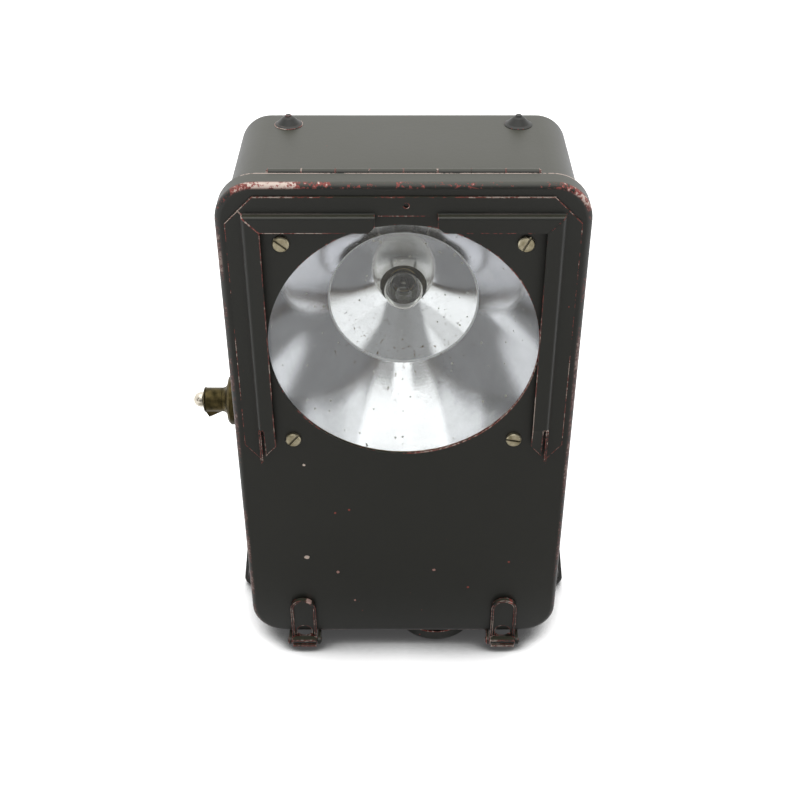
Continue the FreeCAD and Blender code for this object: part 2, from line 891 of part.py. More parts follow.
def hinge_front_leaf():
    """The cover's leaf, welded under its top edge, with every second knuckle."""
    half = hinge_length / 2
    top = cover_top - cover_sheet
    leaf = block(-half, half, hinge_leaf_start, cover_depth, top - hinge_sheet, top)
    for index in range(0, hinge_knuckles, 2):
        start, end = knuckle_span(index)
        leaf = leaf.fuse(block(start, end, cover_depth, hinge_y, top - hinge_sheet, top))
        leaf = leaf.fuse(knuckle(index))
    return leaf.cut(pin_hole()).removeSplitter()


def hinge_rear_leaf():
    """The case's leaf: its knuckles reach down through a slot to a strip under the case's top."""
    half = hinge_length / 2
    tab_front = hinge_y + hinge_barrel - hinge_sheet
    tab_back = hinge_y + hinge_barrel
    leaf_low = case_ceiling - hinge_sheet
    leaf = block(-half, half, tab_front, tab_front + hinge_leaf_depth, leaf_low, case_ceiling)
    leaf = leaf.fuse(block(-half, half, tab_front, tab_back, leaf_low, case_top))
    for index in range(1, hinge_knuckles, 2):
        start, end = knuckle_span(index)
        leaf = leaf.fuse(block(start, end, tab_front, tab_back, leaf_low, hinge_z))
        leaf = leaf.fuse(knuckle(index))
    return leaf.cut(pin_hole()).removeSplitter()


def hinge_pin():
    half = hinge_length / 2
    return turned([
        (0, -half - pin_head_height), (pin_head_radius, -half - pin_head_height),
        (pin_head_radius, -half), (hinge_pin_radius, -half), (hinge_pin_radius, half),
        (pin_head_radius, half), (pin_head_radius, half + pin_head_height),
        (0, half + pin_head_height)], vec(0, hinge_y, hinge_z), AXIS_X, AXIS_Z)


# The case and what is fixed to its walls.

def rear_case():
    outer = rounded_slab(case_half, case_bottom, case_top, case_mouth, case_back, case_corner)
    outer = outer.makeFillet(case_back_round, edges_at_y(outer, case_back))
    inner = rounded_slab(
        case_inner_half, case_floor, case_ceiling,
        case_mouth - overcut, case_back_inner, case_corner - case_sheet)
    inner = inner.makeFillet(case_back_round - case_sheet, edges_at_y(inner, case_back_inner))
    shell = outer.cut(inner)
    for hole in case_holes():
        shell = shell.cut(hole)
    return shell


def case_holes():
    """Every hole in the case: hinge slot, studs, bail pivots, key, socket and rivets."""
    slot_half = hinge_length / 2 + hinge_gap
    slot_front = hinge_y + hinge_barrel - hinge_sheet - hinge_gap
    slot_back = hinge_y + hinge_barrel + hinge_gap
    slot = block(-slot_half, slot_half, slot_front, slot_back, case_ceiling - overcut, case_top + overcut)
    holes = [slot]
    for side in (-1, 1):
        stud = vec(side * stud_offset, stud_depth, case_ceiling)
        holes.append(drill(stud_shank_radius + fit_gap, stud, AXIS_Z))
        pivot = vec(side * case_inner_half, bail_pivot_y, bail_pivot_z)
        holes.append(drill(pivot_radius + fit_gap, pivot, AXIS_X * side))
        holes.append(rivet_hole(vec(side * tray_rivet_x(), tray_rivet_y(), case_bottom), AXIS_Z))
        holes.append(rivet_hole(vec(side * bracket_arm_x, case_back_inner, back_rivet_z()), AXIS_Y))
        for y in bracket_rivet_ys:
            holes.append(rivet_hole(vec(side * latch_offset, y, case_bottom), AXIS_Z))
    holes.append(drill(key_tail_radius + fit_gap, vec(key_face, key_y, key_z), AXIS_X))
    holes.append(drill(spigot_radius + fit_gap, vec(socket_x, socket_y, case_bottom), AXIS_Z))
    return holes


def top_studs():
    """Two conical studs, each clinched through the top of the case."""
    points = [(0, stud_height), (stud_tip_radius * head_taper, stud_height)]
    points += [(stud_tip_radius, stud_height - stud_tip_round), (stud_neck_radius, stud_cone_height)]
    points += [(stud_brim_radius, stud_brim_height), (stud_base_radius, stud_edge_height)]
    points += [(stud_base_radius, 0), (stud_shank_radius, 0), (stud_shank_radius, -case_sheet)]
    points += [(stud_clinch_radius, -case_sheet)]
    points += [(stud_clinch_radius * head_taper, -case_sheet - stud_clinch_height)]
    points += [(0, -case_sheet - stud_clinch_height)]
    return both_sides(turned(points, vec(stud_offset, stud_depth, case_top), AXIS_Z, AXIS_X))


def socket_boss():
    """The round foot under the case, with the threaded hole for a pole or a tripod."""
    foot = vec(socket_x, socket_y, 0)
    disc = rod(boss_radius, foot, foot + AXIS_Z * boss_height)
    lower_edge = [e for e in disc.Edges if e.BoundBox.ZMax < 0.001]
    disc = disc.makeFillet(boss_round, lower_edge)
    body = disc.fuse(rod(boss_neck_radius, foot, foot + AXIS_Z * case_bottom))
    body = body.fuse(rod(spigot_radius, foot, foot + AXIS_Z * (case_floor + spigot_rise)))
    return body.cut(rod(thread_radius, foot, foot + AXIS_Z * thread_depth)).removeSplitter()


def socket_nut():
    seat = vec(socket_x, socket_y, case_floor)
    nut = hexagon(socket_nut_flats, socket_nut_height, seat, AXIS_Z, AXIS_X)
    return nut.cut(drill(spigot_radius + fit_gap, seat, AXIS_Z))


# The latches.

def latch_bracket():
    """A riveted plate with two ears that reach forward under the cover to carry the latch's pin."""
    inner = latch_width / 2 + latch_side_gap
    outer = inner + ear_thickness
    base_low = case_bottom - bracket_sheet
    plate = block(
        latch_offset - outer, latch_offset + outer, bracket_front, bracket_back, base_low, case_bottom)
    top = latch_pin_z + ear_radius
    profile = [vec(0, latch_pin_y, top), vec(0, ear_step, top), vec(0, ear_step, base_low)]
    profile += [vec(0, bracket_front, base_low), vec(0, bracket_front, case_bottom)]
    profile += [vec(0, ear_back, case_bottom), vec(0, ear_back, base_low)]
    profile += [vec(0, ear_back - ear_slope, ear_foot), vec(0, latch_pin_y, latch_pin_z - ear_radius)]
    ear = prism(profile, AXIS_X * ear_thickness)
    eye = vec(0, latch_pin_y, latch_pin_z)
    ear = ear.fuse(rod(ear_radius, eye, eye + AXIS_X * ear_thickness))
    for start in (latch_offset - outer, latch_offset + inner):
        plate = plate.fuse(ear.translated(AXIS_X * start))
    bore = vec(latch_offset - outer - overcut, latch_pin_y, latch_pin_z)
    plate = plate.cut(rod(latch_pin_radius + fit_gap, bore, bore + AXIS_X * (2 * (outer + overcut))))
    for y in bracket_rivet_ys:
        plate = plate.cut(rivet_hole(vec(latch_offset, y, base_low), AXIS_Z))
    return plate.removeSplitter()


def latch():
    """The tongue: a barrel on the pin, a plate up the cover's face, a raised rim and two lower lips."""
    back = -latch_gap
    front = back - latch_sheet
    half = latch_width / 2
    crown = latch_top - half
    plate_low = latch_pin_z
    face = block(-half, half, front, back, plate_low, crown)
    face = face.fuse(rod(half, vec(0, front, crown), vec(0, back, crown)))
    rim_front = front - latch_rim
    rim = block(-half, half, rim_front, front, plate_low + latch_rim_start, crown)
    rim = rim.fuse(rod(half, vec(0, rim_front, crown), vec(0, front, crown)))
    hollow_half = half - latch_rim_wall
    hollow_front = rim_front - overcut
    hollow = block(-hollow_half, hollow_half, hollow_front, front, plate_low - overcut, crown)
    hollow = hollow.fuse(rod(hollow_half, vec(0, hollow_front, crown), vec(0, front, crown)))
    body = face.fuse(rim.cut(hollow))
    window_half = latch_window_width / 2
    window = block(
        -window_half, window_half, front - overcut, back + overcut, latch_window_low, latch_window_high)
    arch = vec(0, front - overcut, latch_window_high)
    window = window.fuse(rod(window_half, arch, arch + AXIS_Y * (latch_sheet + 2 * overcut)))
    body = body.cut(window)
    pin = vec(-half, latch_pin_y, latch_pin_z)
    body = body.fuse(rod(latch_barrel, pin, pin + AXIS_X * latch_width))
    lip_front = latch_pin_y - latch_lip_reach
    ledge_top = latch_pin_z + latch_barrel
    ledge_front = lip_front + latch_ledge_setback
    body = body.fuse(block(-half, half, ledge_front, latch_pin_y, ledge_top - latch_sheet, ledge_top))
    lip_half = half - latch_lip_inset
    lip_low = latch_pin_z - latch_barrel
    body = body.fuse(block(-lip_half, lip_half, lip_front, latch_pin_y, lip_low, lip_low + latch_sheet))
    hole = vec(-half - overcut, latch_pin_y, latch_pin_z)
    body = body.cut(rod(latch_pin_radius + fit_gap, hole, hole + AXIS_X * (latch_width + 2 * overcut)))
    return body.removeSplitter().translated(AXIS_X * latch_offset)


def latch_pins():
    """Each pin is peened over the outside of both ears."""
    reach = latch_width / 2 + latch_side_gap + ear_thickness
    crown = peen_radius * head_taper
    end = reach + peen_height
    points = [(0, -end), (crown, -end), (peen_radius, -reach), (latch_pin_radius, -reach)]
    points += [(latch_pin_radius, reach), (peen_radius, reach), (crown, end), (0, end)]
    return both_sides(turned(points, vec(latch_offset, latch_pin_y, latch_pin_z), AXIS_X, AXIS_Z))


def bracket_rivets():
    grip = bracket_sheet + case_sheet
    rivets = []
    for y in bracket_rivet_ys:
        place = vec(latch_offset, y, case_bottom - bracket_sheet)
        rivets.append(rivet(place, AXIS_Z, grip))
    return joined(rivets + [mirrored(r) for r in rivets])


# The bail.

def bail_lean():
    """How far the bail leans forward at rest, with its crossbar stopped by the boss."""
    crossbar_y = socket_y + boss_radius + bail_stop_gap + bail_width / 2
    return math.asin((bail_pivot_y - crossbar_y) / bail_pivot_z)


def bail():
    """A flat strip bent to a U: straight at each eye, then flared down to a crossbar on the floor."""
    lean = bail_lean()
    drop = (bail_pivot_z - bail_width / 2 * math.sin(lean)) / math.cos(lean)
    front = -bail_width / 2

    def u_outline(inset):
        eye = bail_eye_x - inset
        foot = bail_half_width - inset
        low = inset - drop
        right = [(foot, low), (eye, -bail_straight), (eye, inset)]
        left = [(-x, z) for x, z in reversed(right)]
        return prism([vec(x, front, z) for x, z in right + left], AXIS_Y * bail_width)

    def corner_edges(shape):
        low = shape.BoundBox.ZMin
        return [e for e in edges_along(shape, AXIS_Y) if e.BoundBox.ZMax - low < 0.001]

    outer = u_outline(0)
    outer = outer.makeFillet(bail_corner, corner_edges(outer))
    inner = u_outline(bail_sheet)
    inner = inner.makeFillet(bail_corner - bail_sheet, corner_edges(inner))
    strip = outer.cut(inner)
    for side in (-1, 1):
        start = vec(side * (bail_eye_x - bail_sheet), 0, 0)
        strip = strip.fuse(rod(bail_eye_radius, start, start + AXIS_X * (side * bail_sheet)))
        strip = strip.cut(drill(pivot_radius + fit_gap, start, AXIS_X * side))
    strip = strip.removeSplitter()
    strip.rotate(vec(0, 0, 0), AXIS_X, -math.degrees(lean))
    return strip.translated(vec(0, bail_pivot_y, bail_pivot_z))


def bail_washers():
    start = vec(case_half, bail_pivot_y, bail_pivot_z)
    washer = tube(washer_radius, pivot_radius + fit_gap, start, start + AXIS_X * washer_thickness)
    return both_sides(washer)


def bail_rivets():
    """Shouldered rivets that the bail turns on."""
    outer_face = bail_eye_x + bail_side_gap
    head_end = outer_face + pivot_head_height
    tail_start = case_inner_half - pivot_tail_height
    points = [(0, tail_start), (pivot_tail_radius * head_taper, tail_start)]
    points += [(pivot_tail_radius, case_inner_half), (pivot_radius, case_inner_half)]
    points += [(pivot_radius, outer_face), (pivot_head_radius, outer_face)]
    points += [(pivot_head_radius * head_taper, head_end), (0, head_end)]
    return both_sides(turned(points, vec(0, bail_pivot_y, bail_pivot_z), AXIS_X, AXIS_Z))


# The battery and its tray.

def tray_rivet_x():
    return battery_width / 2 + tray_gap + tray_sheet + tray_foot / 2


def tray_rivet_y():
    return (tray_foot_front + battery_back + tray_gap + tray_sheet) / 2


def battery_tray():
    """An open tray on two side legs, which straddles the socket's nut."""
    inner_half = battery_width / 2 + tray_gap
    half = inner_half + tray_sheet
    front = battery_front - tray_gap - tray_sheet
    back = battery_back + tray_gap + tray_sheet
    high = battery_floor + tray_depth
    tray = block(-half, half, front, back, tray_floor, high)
    tray = tray.cut(block(
        -inner_half, inner_half, front + tray_sheet, back - tray_sheet, battery_floor, high + overcut))
    for side in (-1, 1):
        leg = block(inner_half, half, tray_foot_front, back, case_floor, tray_floor)
        foot = block(inner_half, half + tray_foot, tray_foot_front, back, case_floor, case_floor + tray_sheet)
        leg = leg.fuse(foot).cut(rivet_hole(vec(tray_rivet_x(), tray_rivet_y(), case_floor), AXIS_Z))
        tray = tray.fuse(leg if side > 0 else mirrored(leg))
    return tray.removeSplitter()


def tray_rivets():
    place = vec(tray_rivet_x(), tray_rivet_y(), case_bottom)
    return both_sides(rivet(place, AXIS_Z, case_sheet + tray_sheet))


def battery():
    half = battery_width / 2
    cells = block(-half, half, battery_front, battery_back, battery_floor, battery_top)
    return cells.makeFillet(battery_round, edges_along(cells, AXIS_Z))


def battery_terminals():
    """Two springy strips that rise from the battery's top and lean back to the contact board."""
    lean_y = board_front - contact_sheet - contact_bow - contact_gap - terminal_sheet / 2
    foot_y = battery_back - terminal_setback
    path = [(foot_y, battery_top), (foot_y, battery_top + terminal_foot)]
    path += [(lean_y, battery_top + terminal_bend), (lean_y, battery_top + terminal_rise)]
    start = terminal_offset - terminal_width / 2
    return both_sides(ribbon_yz(path, terminal_sheet, start, terminal_width))


# The contact board behind the battery and the strips to the lamp and to the key.

def board_rivet_z():
    return bracket_arm_bottom + board_rivet_rise


def back_rivet_z():
    return bracket_arm_bottom + back_rivet_rise


def contact_board():
    board = block(-board_half_width, board_half_width, board_front, board_back, board_bottom, board_top)
    for side in (-1, 1):
        for x, z in ((terminal_offset, strip_rivet_z), (bracket_arm_x, board_rivet_z())):
            board = board.cut(rivet_hole(vec(side * x, board_front, z), AXIS_Y))
    return board


def contact_springs():
    """Bowed contacts on the board's front that meet the battery's strips."""
    flat = board_front - contact_sheet / 2
    path = [(flat, strip_high), (flat, strip_low + contact_bend), (flat - contact_bow, strip_low)]
    path.append((flat - contact_tail_lift, strip_low - contact_tail))
    spring = ribbon_yz(path, contact_sheet, terminal_offset - contact_width / 2, contact_width)
    hole = vec(terminal_offset, board_front - contact_sheet, strip_rivet_z)
    return both_sides(spring.cut(rivet_hole(hole, AXIS_Y)))


def contact_rivets():
    place = vec(terminal_offset, board_front - contact_sheet, strip_rivet_z)
    return both_sides(rivet(place, AXIS_Y, contact_sheet + board_sheet + strip_sheet))


def board_brackets():
    """Two bent arms that carry the board from the back of the case."""
    x0 = bracket_arm_x - bracket_arm_width / 2
    x1 = bracket_arm_x + bracket_arm_width / 2
    low = bracket_arm_bottom
    sheet = bracket_arm_sheet
    arm = block(x0, x1, board_back, case_back_inner, low, low + sheet)
    back = case_back_inner - sheet
    arm = arm.fuse(block(x0, x1, board_back, board_back + sheet, low, low + bracket_arm_front_rise))
    arm = arm.fuse(block(x0, x1, back, case_back_inner, low, low + bracket_arm_back_rise))
    arm = arm.cut(rivet_hole(vec(bracket_arm_x, board_back, board_rivet_z()), AXIS_Y))
    arm = arm.cut(rivet_hole(vec(bracket_arm_x, back, back_rivet_z()), AXIS_Y))
    return both_sides(arm.removeSplitter())


def board_rivets():
    place = vec(bracket_arm_x, board_front, board_rivet_z())
    return both_sides(rivet(place, AXIS_Y, board_sheet + bracket_arm_sheet))


def back_rivets():
    place = vec(bracket_arm_x, case_back_inner - bracket_arm_sheet, back_rivet_z())
    return both_sides(rivet(place, AXIS_Y, bracket_arm_sheet + case_sheet))


def strip_insulator():
    """A fibre sheet that keeps the lamp's strip off the back of the case."""
    edge = terminal_offset + strip_width / 2 + insulator_margin
    right = min(edge, bracket_arm_x - bracket_arm_width / 2 - insulator_arm_gap)
    return block(
        -insulator_left, right, case_back_inner - insulator_sheet, case_back_inner,
        strip_low - insulator_below, lamp_z + insulator_above)


def lamp_feed_strip():
    """From the board's right contact back to the rear wall, then up to a finger behind the bulb."""
    x0 = terminal_offset - strip_width / 2
    x1 = terminal_offset + strip_width / 2
    wall_back = case_back_inner - insulator_sheet
    wall_front = wall_back - strip_sheet
    arm_high = finger_arm_low + strip_width
    strip = block(x0, x1, board_back, board_back + strip_sheet, strip_low, strip_high)
    strip = strip.fuse(block(x0, x1, board_back, wall_back, strip_low, strip_low + strip_sheet))
    strip = strip.fuse(block(x0, x1, wall_front, wall_back, strip_low, arm_high))
    strip = strip.fuse(block(-finger_width / 2, x1, wall_front, wall_back, finger_arm_low, arm_high))
    flat = wall_back - strip_sheet / 2
    crest = tail_end + finger_gap + strip_sheet / 2
    rise = lamp_z - arm_high
    path = [(flat, arm_high - overcut), (flat, arm_high)]
    path += [(crest, lamp_z - finger_pad), (crest, lamp_z + finger_pad)]
    path.append((flat - finger_tail_gap, lamp_z + finger_pad + rise / 2))
    strip = strip.fuse(ribbon_yz(path, strip_sheet, -finger_width / 2, finger_width))
    return strip.cut(rivet_hole(vec(terminal_offset, board_back, strip_rivet_z), AXIS_Y)).removeSplitter()


def key_leaf_x():
    """The face of the key's fixed contact, just past the end of the button's stroke."""
    return key_face + key_tail_length + stem_tip + key_stroke + key_contact_gap


def key_feed_strip():
    """From the board's left contact along to the key, ending in a leaf that faces its stem."""
    leaf = key_leaf_x()
    strip = block(
        leaf, -terminal_offset + strip_width / 2, board_back, board_back + strip_sheet,
        strip_low, strip_high)
    strip = strip.fuse(block(
        leaf, leaf + strip_sheet, key_y - key_leaf_half, board_back + strip_sheet, strip_low, strip_high))
    return strip.cut(rivet_hole(vec(-terminal_offset, board_back, strip_rivet_z), AXIS_Y)).removeSplitter()


# The key. Distances along its axis run outward from the side of the case.

def key_base():
    """A round foot that flares down to a neck, with a spigot for the collar and a tail for the nut."""
    stem_bore = stem_radius + key_running_gap
    bore_end = key_bore_depth
    points = [(key_bore_radius, -key_tail_length), (key_tail_radius, -key_tail_length)]
    points += [(key_tail_radius, 0), (key_disc_radius, 0)]
    points += [(key_disc_radius, key_disc_reach - key_disc_round)]
    points += [(key_disc_radius - key_disc_round, key_disc_reach)]
    steps = 6
    flare_start = key_disc_radius - key_disc_round
    for i in range(1, steps + 1):
        share = math.radians(90 * i / steps)
        reach = key_disc_reach + (key_flare_reach - key_disc_reach) * (1 - math.cos(share))
        points.append((flare_start - (flare_start - key_neck_radius) * math.sin(share), reach))
    points += [(key_spigot_radius, key_flare_reach), (key_spigot_radius, key_spigot_reach)]
    points += [(stem_bore, key_spigot_reach), (stem_bore, bore_end), (key_bore_radius, bore_end)]
    return turned_x(points)


def key_nut():
    centre = vec(key_face + case_sheet, key_y, key_z)
    nut = hexagon(key_nut_flats, key_nut_height, centre, AXIS_X, AXIS_Z)
    return nut.cut(drill(key_tail_radius + fit_gap, centre, AXIS_X))


def key_retainer():
    """The disc, pressed in the tail, that the spring pushes on."""
    inner = stem_radius + retainer_gap
    outer = key_bore_radius - fit_gap / 2
    front = retainer_thickness - key_tail_length
    return turned_x([(inner, -key_tail_length), (outer, -key_tail_length), (outer, front), (inner, front)])


def key_collar():
    """A sleeve that turns on the spigot, with a bead at its mouth and a pointed vane below."""
    bore = key_spigot_radius + key_running_gap
    start = key_flare_reach + collar_gap
    bead = key_neck_radius + collar_bead_rise
    sleeve = turned_x([
        (bore, start), (key_neck_radius, start), (key_neck_radius, collar_reach - collar_bead_length),
        (bead, collar_reach - collar_bead_length / 2), (key_neck_radius - collar_mouth_bevel, collar_reach),
        (bore, collar_reach)])
    front = key_y - collar_vane_thickness / 2
    top = key_z - (key_neck_radius + bore) / 2
    low = key_z - key_neck_radius
    outline = [(start, top), (start + collar_vane_root, low), (collar_vane_tip, key_z - collar_vane_drop)]
    outline += [(collar_reach, low), (collar_reach, top)]
    vane = prism([vec(key_face - reach, front, z) for reach, z in outline], AXIS_Y * collar_vane_thickness)
    vane = vane.cut(turned_x([(0, 0), (bore, 0), (bore, ball_reach), (0, ball_reach)]))
    return sleeve.fuse(vane).removeSplitter()


def key_button():
    """The ball that the thumb presses, its stem, and the collar that stops it inside."""
    stop = key_bore_depth - key_stop_gap
    tip = -key_tail_length - stem_tip
    root = ball_reach - math.sqrt(ball_radius ** 2 - stem_radius ** 2)
    points = [(0, ball_reach + ball_radius), (0, tip), (stem_radius, tip)]
    points += [(stem_radius, stop - stem_collar_length), (stem_collar_radius, stop - stem_collar_length)]
    points += [(stem_collar_radius, stop), (stem_radius, stop), (stem_radius, root)]
    places = [vec(key_face - reach, key_y, key_z + radius) for radius, reach in points]
    edges = [Part.makeLine(a, b) for a, b in zip(places, places[1:])]
    widest = vec(key_face - ball_reach, key_y, key_z + ball_radius)
    edges.append(Part.Arc(places[-1], widest, places[0]).toShape())
    return Part.Face(Part.Wire(edges)).revolve(key_axis, AXIS_X, 360)


def key_spring():
    """The coil that pushes the button out again."""
    back = key_face - (retainer_thickness - key_tail_length) - spring_wire - fit_gap
    front = key_face - (key_bore_depth - key_stop_gap - stem_collar_length) + spring_wire + fit_gap
    length = back - front
    helix = Part.makeHelix(length / spring_turns, length, spring_radius)
    start = helix.Vertexes[0].Point
    profile = Part.Wire(Part.makeCircle(spring_wire, start, AXIS_Y))
    coil = Part.Wire(helix).makePipeShell([profile], True, True)
    coil.rotate(vec(0, 0, 0), AXIS_Y, 90)
    return coil.translated(vec(front, key_y, key_z))


def write(name, shape):
    """Every piece is moved so that the origin is the mouth of the pole socket."""
    moved = shape.translated(vec(-socket_x, -socket_y, 0))
    moved.exportStep(os.path.join("parts", name + ".step"))


right_guide = side_guide()
right_latch = latch()
right_bracket = latch_bracket()

pieces = {
    "front_cover": front_cover(),
    "cover_seal": cover_seal(),
    "left_filter_guide": mirrored(right_guide),
    "right_filter_guide": right_guide,
    "top_filter_guide": top_guide(),
    "window_gasket": window_gasket(),
    "window_glass": window_glass(),
    "reflector": reflector(),
    "clamp_frame": clamp_frame(),
    "clamp_spacers": clamp_spacers(),
    "clamp_screws": clamp_screws(),
    "clamp_nuts": clamp_nuts(),
    "bulb_glass": bulb_glass(),
    "bulb_cap": bulb_cap(),
    "bulb_insulator": bulb_insulator(),
    "bulb_contact": bulb_contact(),
    "filament_supports": filament_supports(),
    "filament": filament(),
    "lamp_holder": lamp_holder(),
    "holder_insulator": holder_insulator(),
    "holder_contact": holder_contact(),
    "battery_press_spring": battery_press_spring(),
    "hinge_front_leaf": hinge_front_leaf(),
    "hinge_rear_leaf": hinge_rear_leaf(),
    "hinge_pin": hinge_pin(),
    "rear_case": rear_case(),
    "top_studs": top_studs(),
    "socket_boss": socket_boss(),
    "socket_nut": socket_nut(),
    "left_latch_bracket": mirrored(right_bracket),
    "right_latch_bracket": right_bracket,
    "left_latch": mirrored(right_latch),
    "right_latch": right_latch,
    "latch_pins": latch_pins(),
    "bracket_rivets": bracket_rivets(),
    "bail": bail(),
    "bail_washers": bail_washers(),
    "bail_rivets": bail_rivets(),
    "battery_tray": battery_tray(),
    "tray_rivets": tray_rivets(),
    "battery": battery(),
    "battery_terminals": battery_terminals(),
    "contact_board": contact_board(),
    "contact_springs": contact_springs(),
    "contact_rivets": contact_rivets(),
    "board_brackets": board_brackets(),
    "board_rivets": board_rivets(),
    "back_rivets": back_rivets(),
    "strip_insulator": strip_insulator(),
    "lamp_feed_strip": lamp_feed_strip(),
    "key_feed_strip": key_feed_strip(),
    "key_base": key_base(),
    "key_nut": key_nut(),
    "key_retainer": key_retainer(),
    "key_collar": key_collar(),
    "key_button": key_button(),
    "key_spring": key_spring(),
}

os.makedirs("parts", exist_ok=True)
for name, shape in pieces.items():
    write(name, shape)
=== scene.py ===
import bpy
import bmesh
import math
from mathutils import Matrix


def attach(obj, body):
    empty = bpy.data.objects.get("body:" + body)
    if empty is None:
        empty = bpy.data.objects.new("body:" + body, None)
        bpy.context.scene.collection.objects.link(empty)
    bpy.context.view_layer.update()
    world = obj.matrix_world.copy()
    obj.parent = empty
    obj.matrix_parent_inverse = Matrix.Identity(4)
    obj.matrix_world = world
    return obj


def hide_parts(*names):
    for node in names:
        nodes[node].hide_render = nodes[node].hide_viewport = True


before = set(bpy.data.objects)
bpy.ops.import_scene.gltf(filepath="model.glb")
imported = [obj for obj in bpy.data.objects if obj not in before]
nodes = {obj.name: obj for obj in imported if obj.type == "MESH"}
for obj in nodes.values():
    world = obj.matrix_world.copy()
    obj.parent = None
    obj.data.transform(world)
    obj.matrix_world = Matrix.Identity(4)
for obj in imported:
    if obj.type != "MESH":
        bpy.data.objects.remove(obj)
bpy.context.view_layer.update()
scene = bpy.context.scene
scene.view_settings.view_transform = "Standard"


# The light tent.
# The lamp stands in a tent of white cloth: bright above and behind it, with a lit panel at each
# side of the camera, and the dark room in the gaps between them at the front.

def linear(hex_colour):
    """An sRGB hex colour as the linear colour that a shader takes."""
    parts = [int(hex_colour[i:i + 2], 16) / 255 for i in (1, 3, 5)]
    return tuple(c / 12.92 if c <= 0.04045 else ((c + 0.055) / 1.055) ** 2.4 for c in parts) + (1.0,)


def add_node(tree, kind, links=None, **settings):
    """Adds a node, sets its inputs and properties by name, and links other nodes to it: a socket,
    or a node for its first output."""
    node = tree.nodes.new("ShaderNode" + kind)
    for name, value in settings.items():
        setattr(node, name, value)
    for name, source in (links or {}).items():
        if isinstance(source, bpy.types.Node):
            source = source.outputs[0]
        if isinstance(source, bpy.types.NodeSocket):
            tree.links.new(source, node.inputs[name])
        else:
            node.inputs[name].default_value = source
    return node


tent_white = "#FFFFFF"
room_level = 0.28
soft_edge = 4
tent = bpy.data.worlds.new("light_tent")
scene.world = tent
tent.use_nodes = True
cloth = tent.node_tree
cloth.nodes.clear()
ray_way = add_node(cloth, "SeparateXYZ", {0: add_node(cloth, "TexCoord").outputs["Generated"]})
ahead = add_node(cloth, "Math", {0: ray_way.outputs["Y"], 1: -1.0}, operation="MULTIPLY")
turn = add_node(cloth, "Math", {0: ray_way.outputs["X"], 1: ahead}, operation="ARCTAN2")
tilt = add_node(cloth, "Math", {0: ray_way.outputs["Z"]}, operation="ARCSINE")
bearing = add_node(cloth, "Math", {0: turn}, operation="DEGREES")
height = add_node(cloth, "Math", {0: tilt}, operation="DEGREES")
from_front = add_node(cloth, "Math", {0: bearing}, operation="ABSOLUTE")


def tent_panel(level, direction, sides, heights):
    """A panel of the tent between two bearings and two heights, all in degrees. Its edges fade over
    soft_edge degrees to each side. A level of 1 is plain white."""
    light = level
    for value, (low, high) in ((direction, sides), (height, heights)):
        for limit, inward in ((low, soft_edge), (high, -soft_edge)):
            edge = add_node(cloth, "MapRange", {
                "Value": value, "From Min": limit - inward, "From Max": limit + inward},
                interpolation_type="SMOOTHSTEP")
            light = add_node(cloth, "Math", {0: edge, 1: light}, operation="MULTIPLY")
    return light


brightest = room_level
for panel in (
        tent_panel(2.1, from_front, (-9, 190), (55, 99)),  # overhead, all round
        tent_panel(1.10, from_front, (64, 90), (-12, 60)),  # beside the lamp, left and right
        tent_panel(1.25, from_front, (86, 190), (-12, 60)),  # behind it
        tent_panel(1.30, from_front, (104, 190), (14, 58)),  # behind it and higher
        tent_panel(1.15, bearing, (-38, 26), (36, 50)),  # over the camera
        tent_panel(1.20, bearing, (-45, -25), (12, 48)),  # left of the camera
        tent_panel(0.90, bearing, (-48, -25), (-20, 14)),  # left of the camera, down to the table
        tent_panel(1.15, bearing, (27, 53), (-20, 15))):  # right of the camera, down to the table
    brightest = add_node(cloth, "Math", {0: panel, 1: brightest}, operation="MAXIMUM")
ray = add_node(cloth, "LightPath")
# Seen straight, or through glass alone, the tent is plain white; a mirroring face shows its panels.
unmirrored = add_node(cloth, "Math", {0: ray.outputs["Glossy Depth"], 1: 0.5}, operation="LESS_THAN")
through = add_node(cloth, "Math", {0: ray.outputs["Is Transmission Ray"], 1: unmirrored},
    operation="MULTIPLY")
straight = add_node(cloth, "Math", {0: ray.outputs["Is Camera Ray"], 1: through}, operation="MAXIMUM")
lit_cloth = add_node(cloth, "Background", {"Color": linear(tent_white), "Strength": brightest})
white_wall = add_node(cloth, "Background", {"Color": linear(tent_white), "Strength": 1.0})
both = add_node(cloth, "MixShader", {0: straight, 1: lit_cloth, 2: white_wall})
add_node(cloth, "OutputWorld", {"Surface": both})


# The table.
# Rough white drawing paper lies under the lamp. Just in front of it a darker, warm grey strip of
# table takes its place in what the lamp's faces mirror, while the camera sees paper all over.

# Lengths are in metres, and the three shadow numbers after its reach are shares of open daylight.
paper_white, pulp_white, table_grey = "#FFFFFF", "#FBFBFB", "#B3B1AD"
mottles_to_m = 9.0
floor_half = 3.0
paper_edge, table_dark = -0.016, -0.046
dark_half, light_half = 0.13, 0.23
shadow_reach = 0.03
shadow_core, shadow_rim = 0.42, 0.76
shadow_level = 0.10
painted_glow_level = 0.5
paper_mesh = bpy.data.meshes.new("paper_floor")
corners = ((-1, -1), (1, -1), (1, 1), (-1, 1))
paper_mesh.from_pydata([(x * floor_half, y * floor_half, 0.0) for x, y in corners], [], [(0, 1, 2, 3)])
paper = bpy.data.objects.new("paper_floor", paper_mesh)
scene.collection.objects.link(paper)


def blank_material(name):
    """A material of that name and its node tree, with no nodes yet."""
    material = bpy.data.materials.new(name)
    material.use_nodes = True
    material.node_tree.nodes.clear()
    return material, material.node_tree


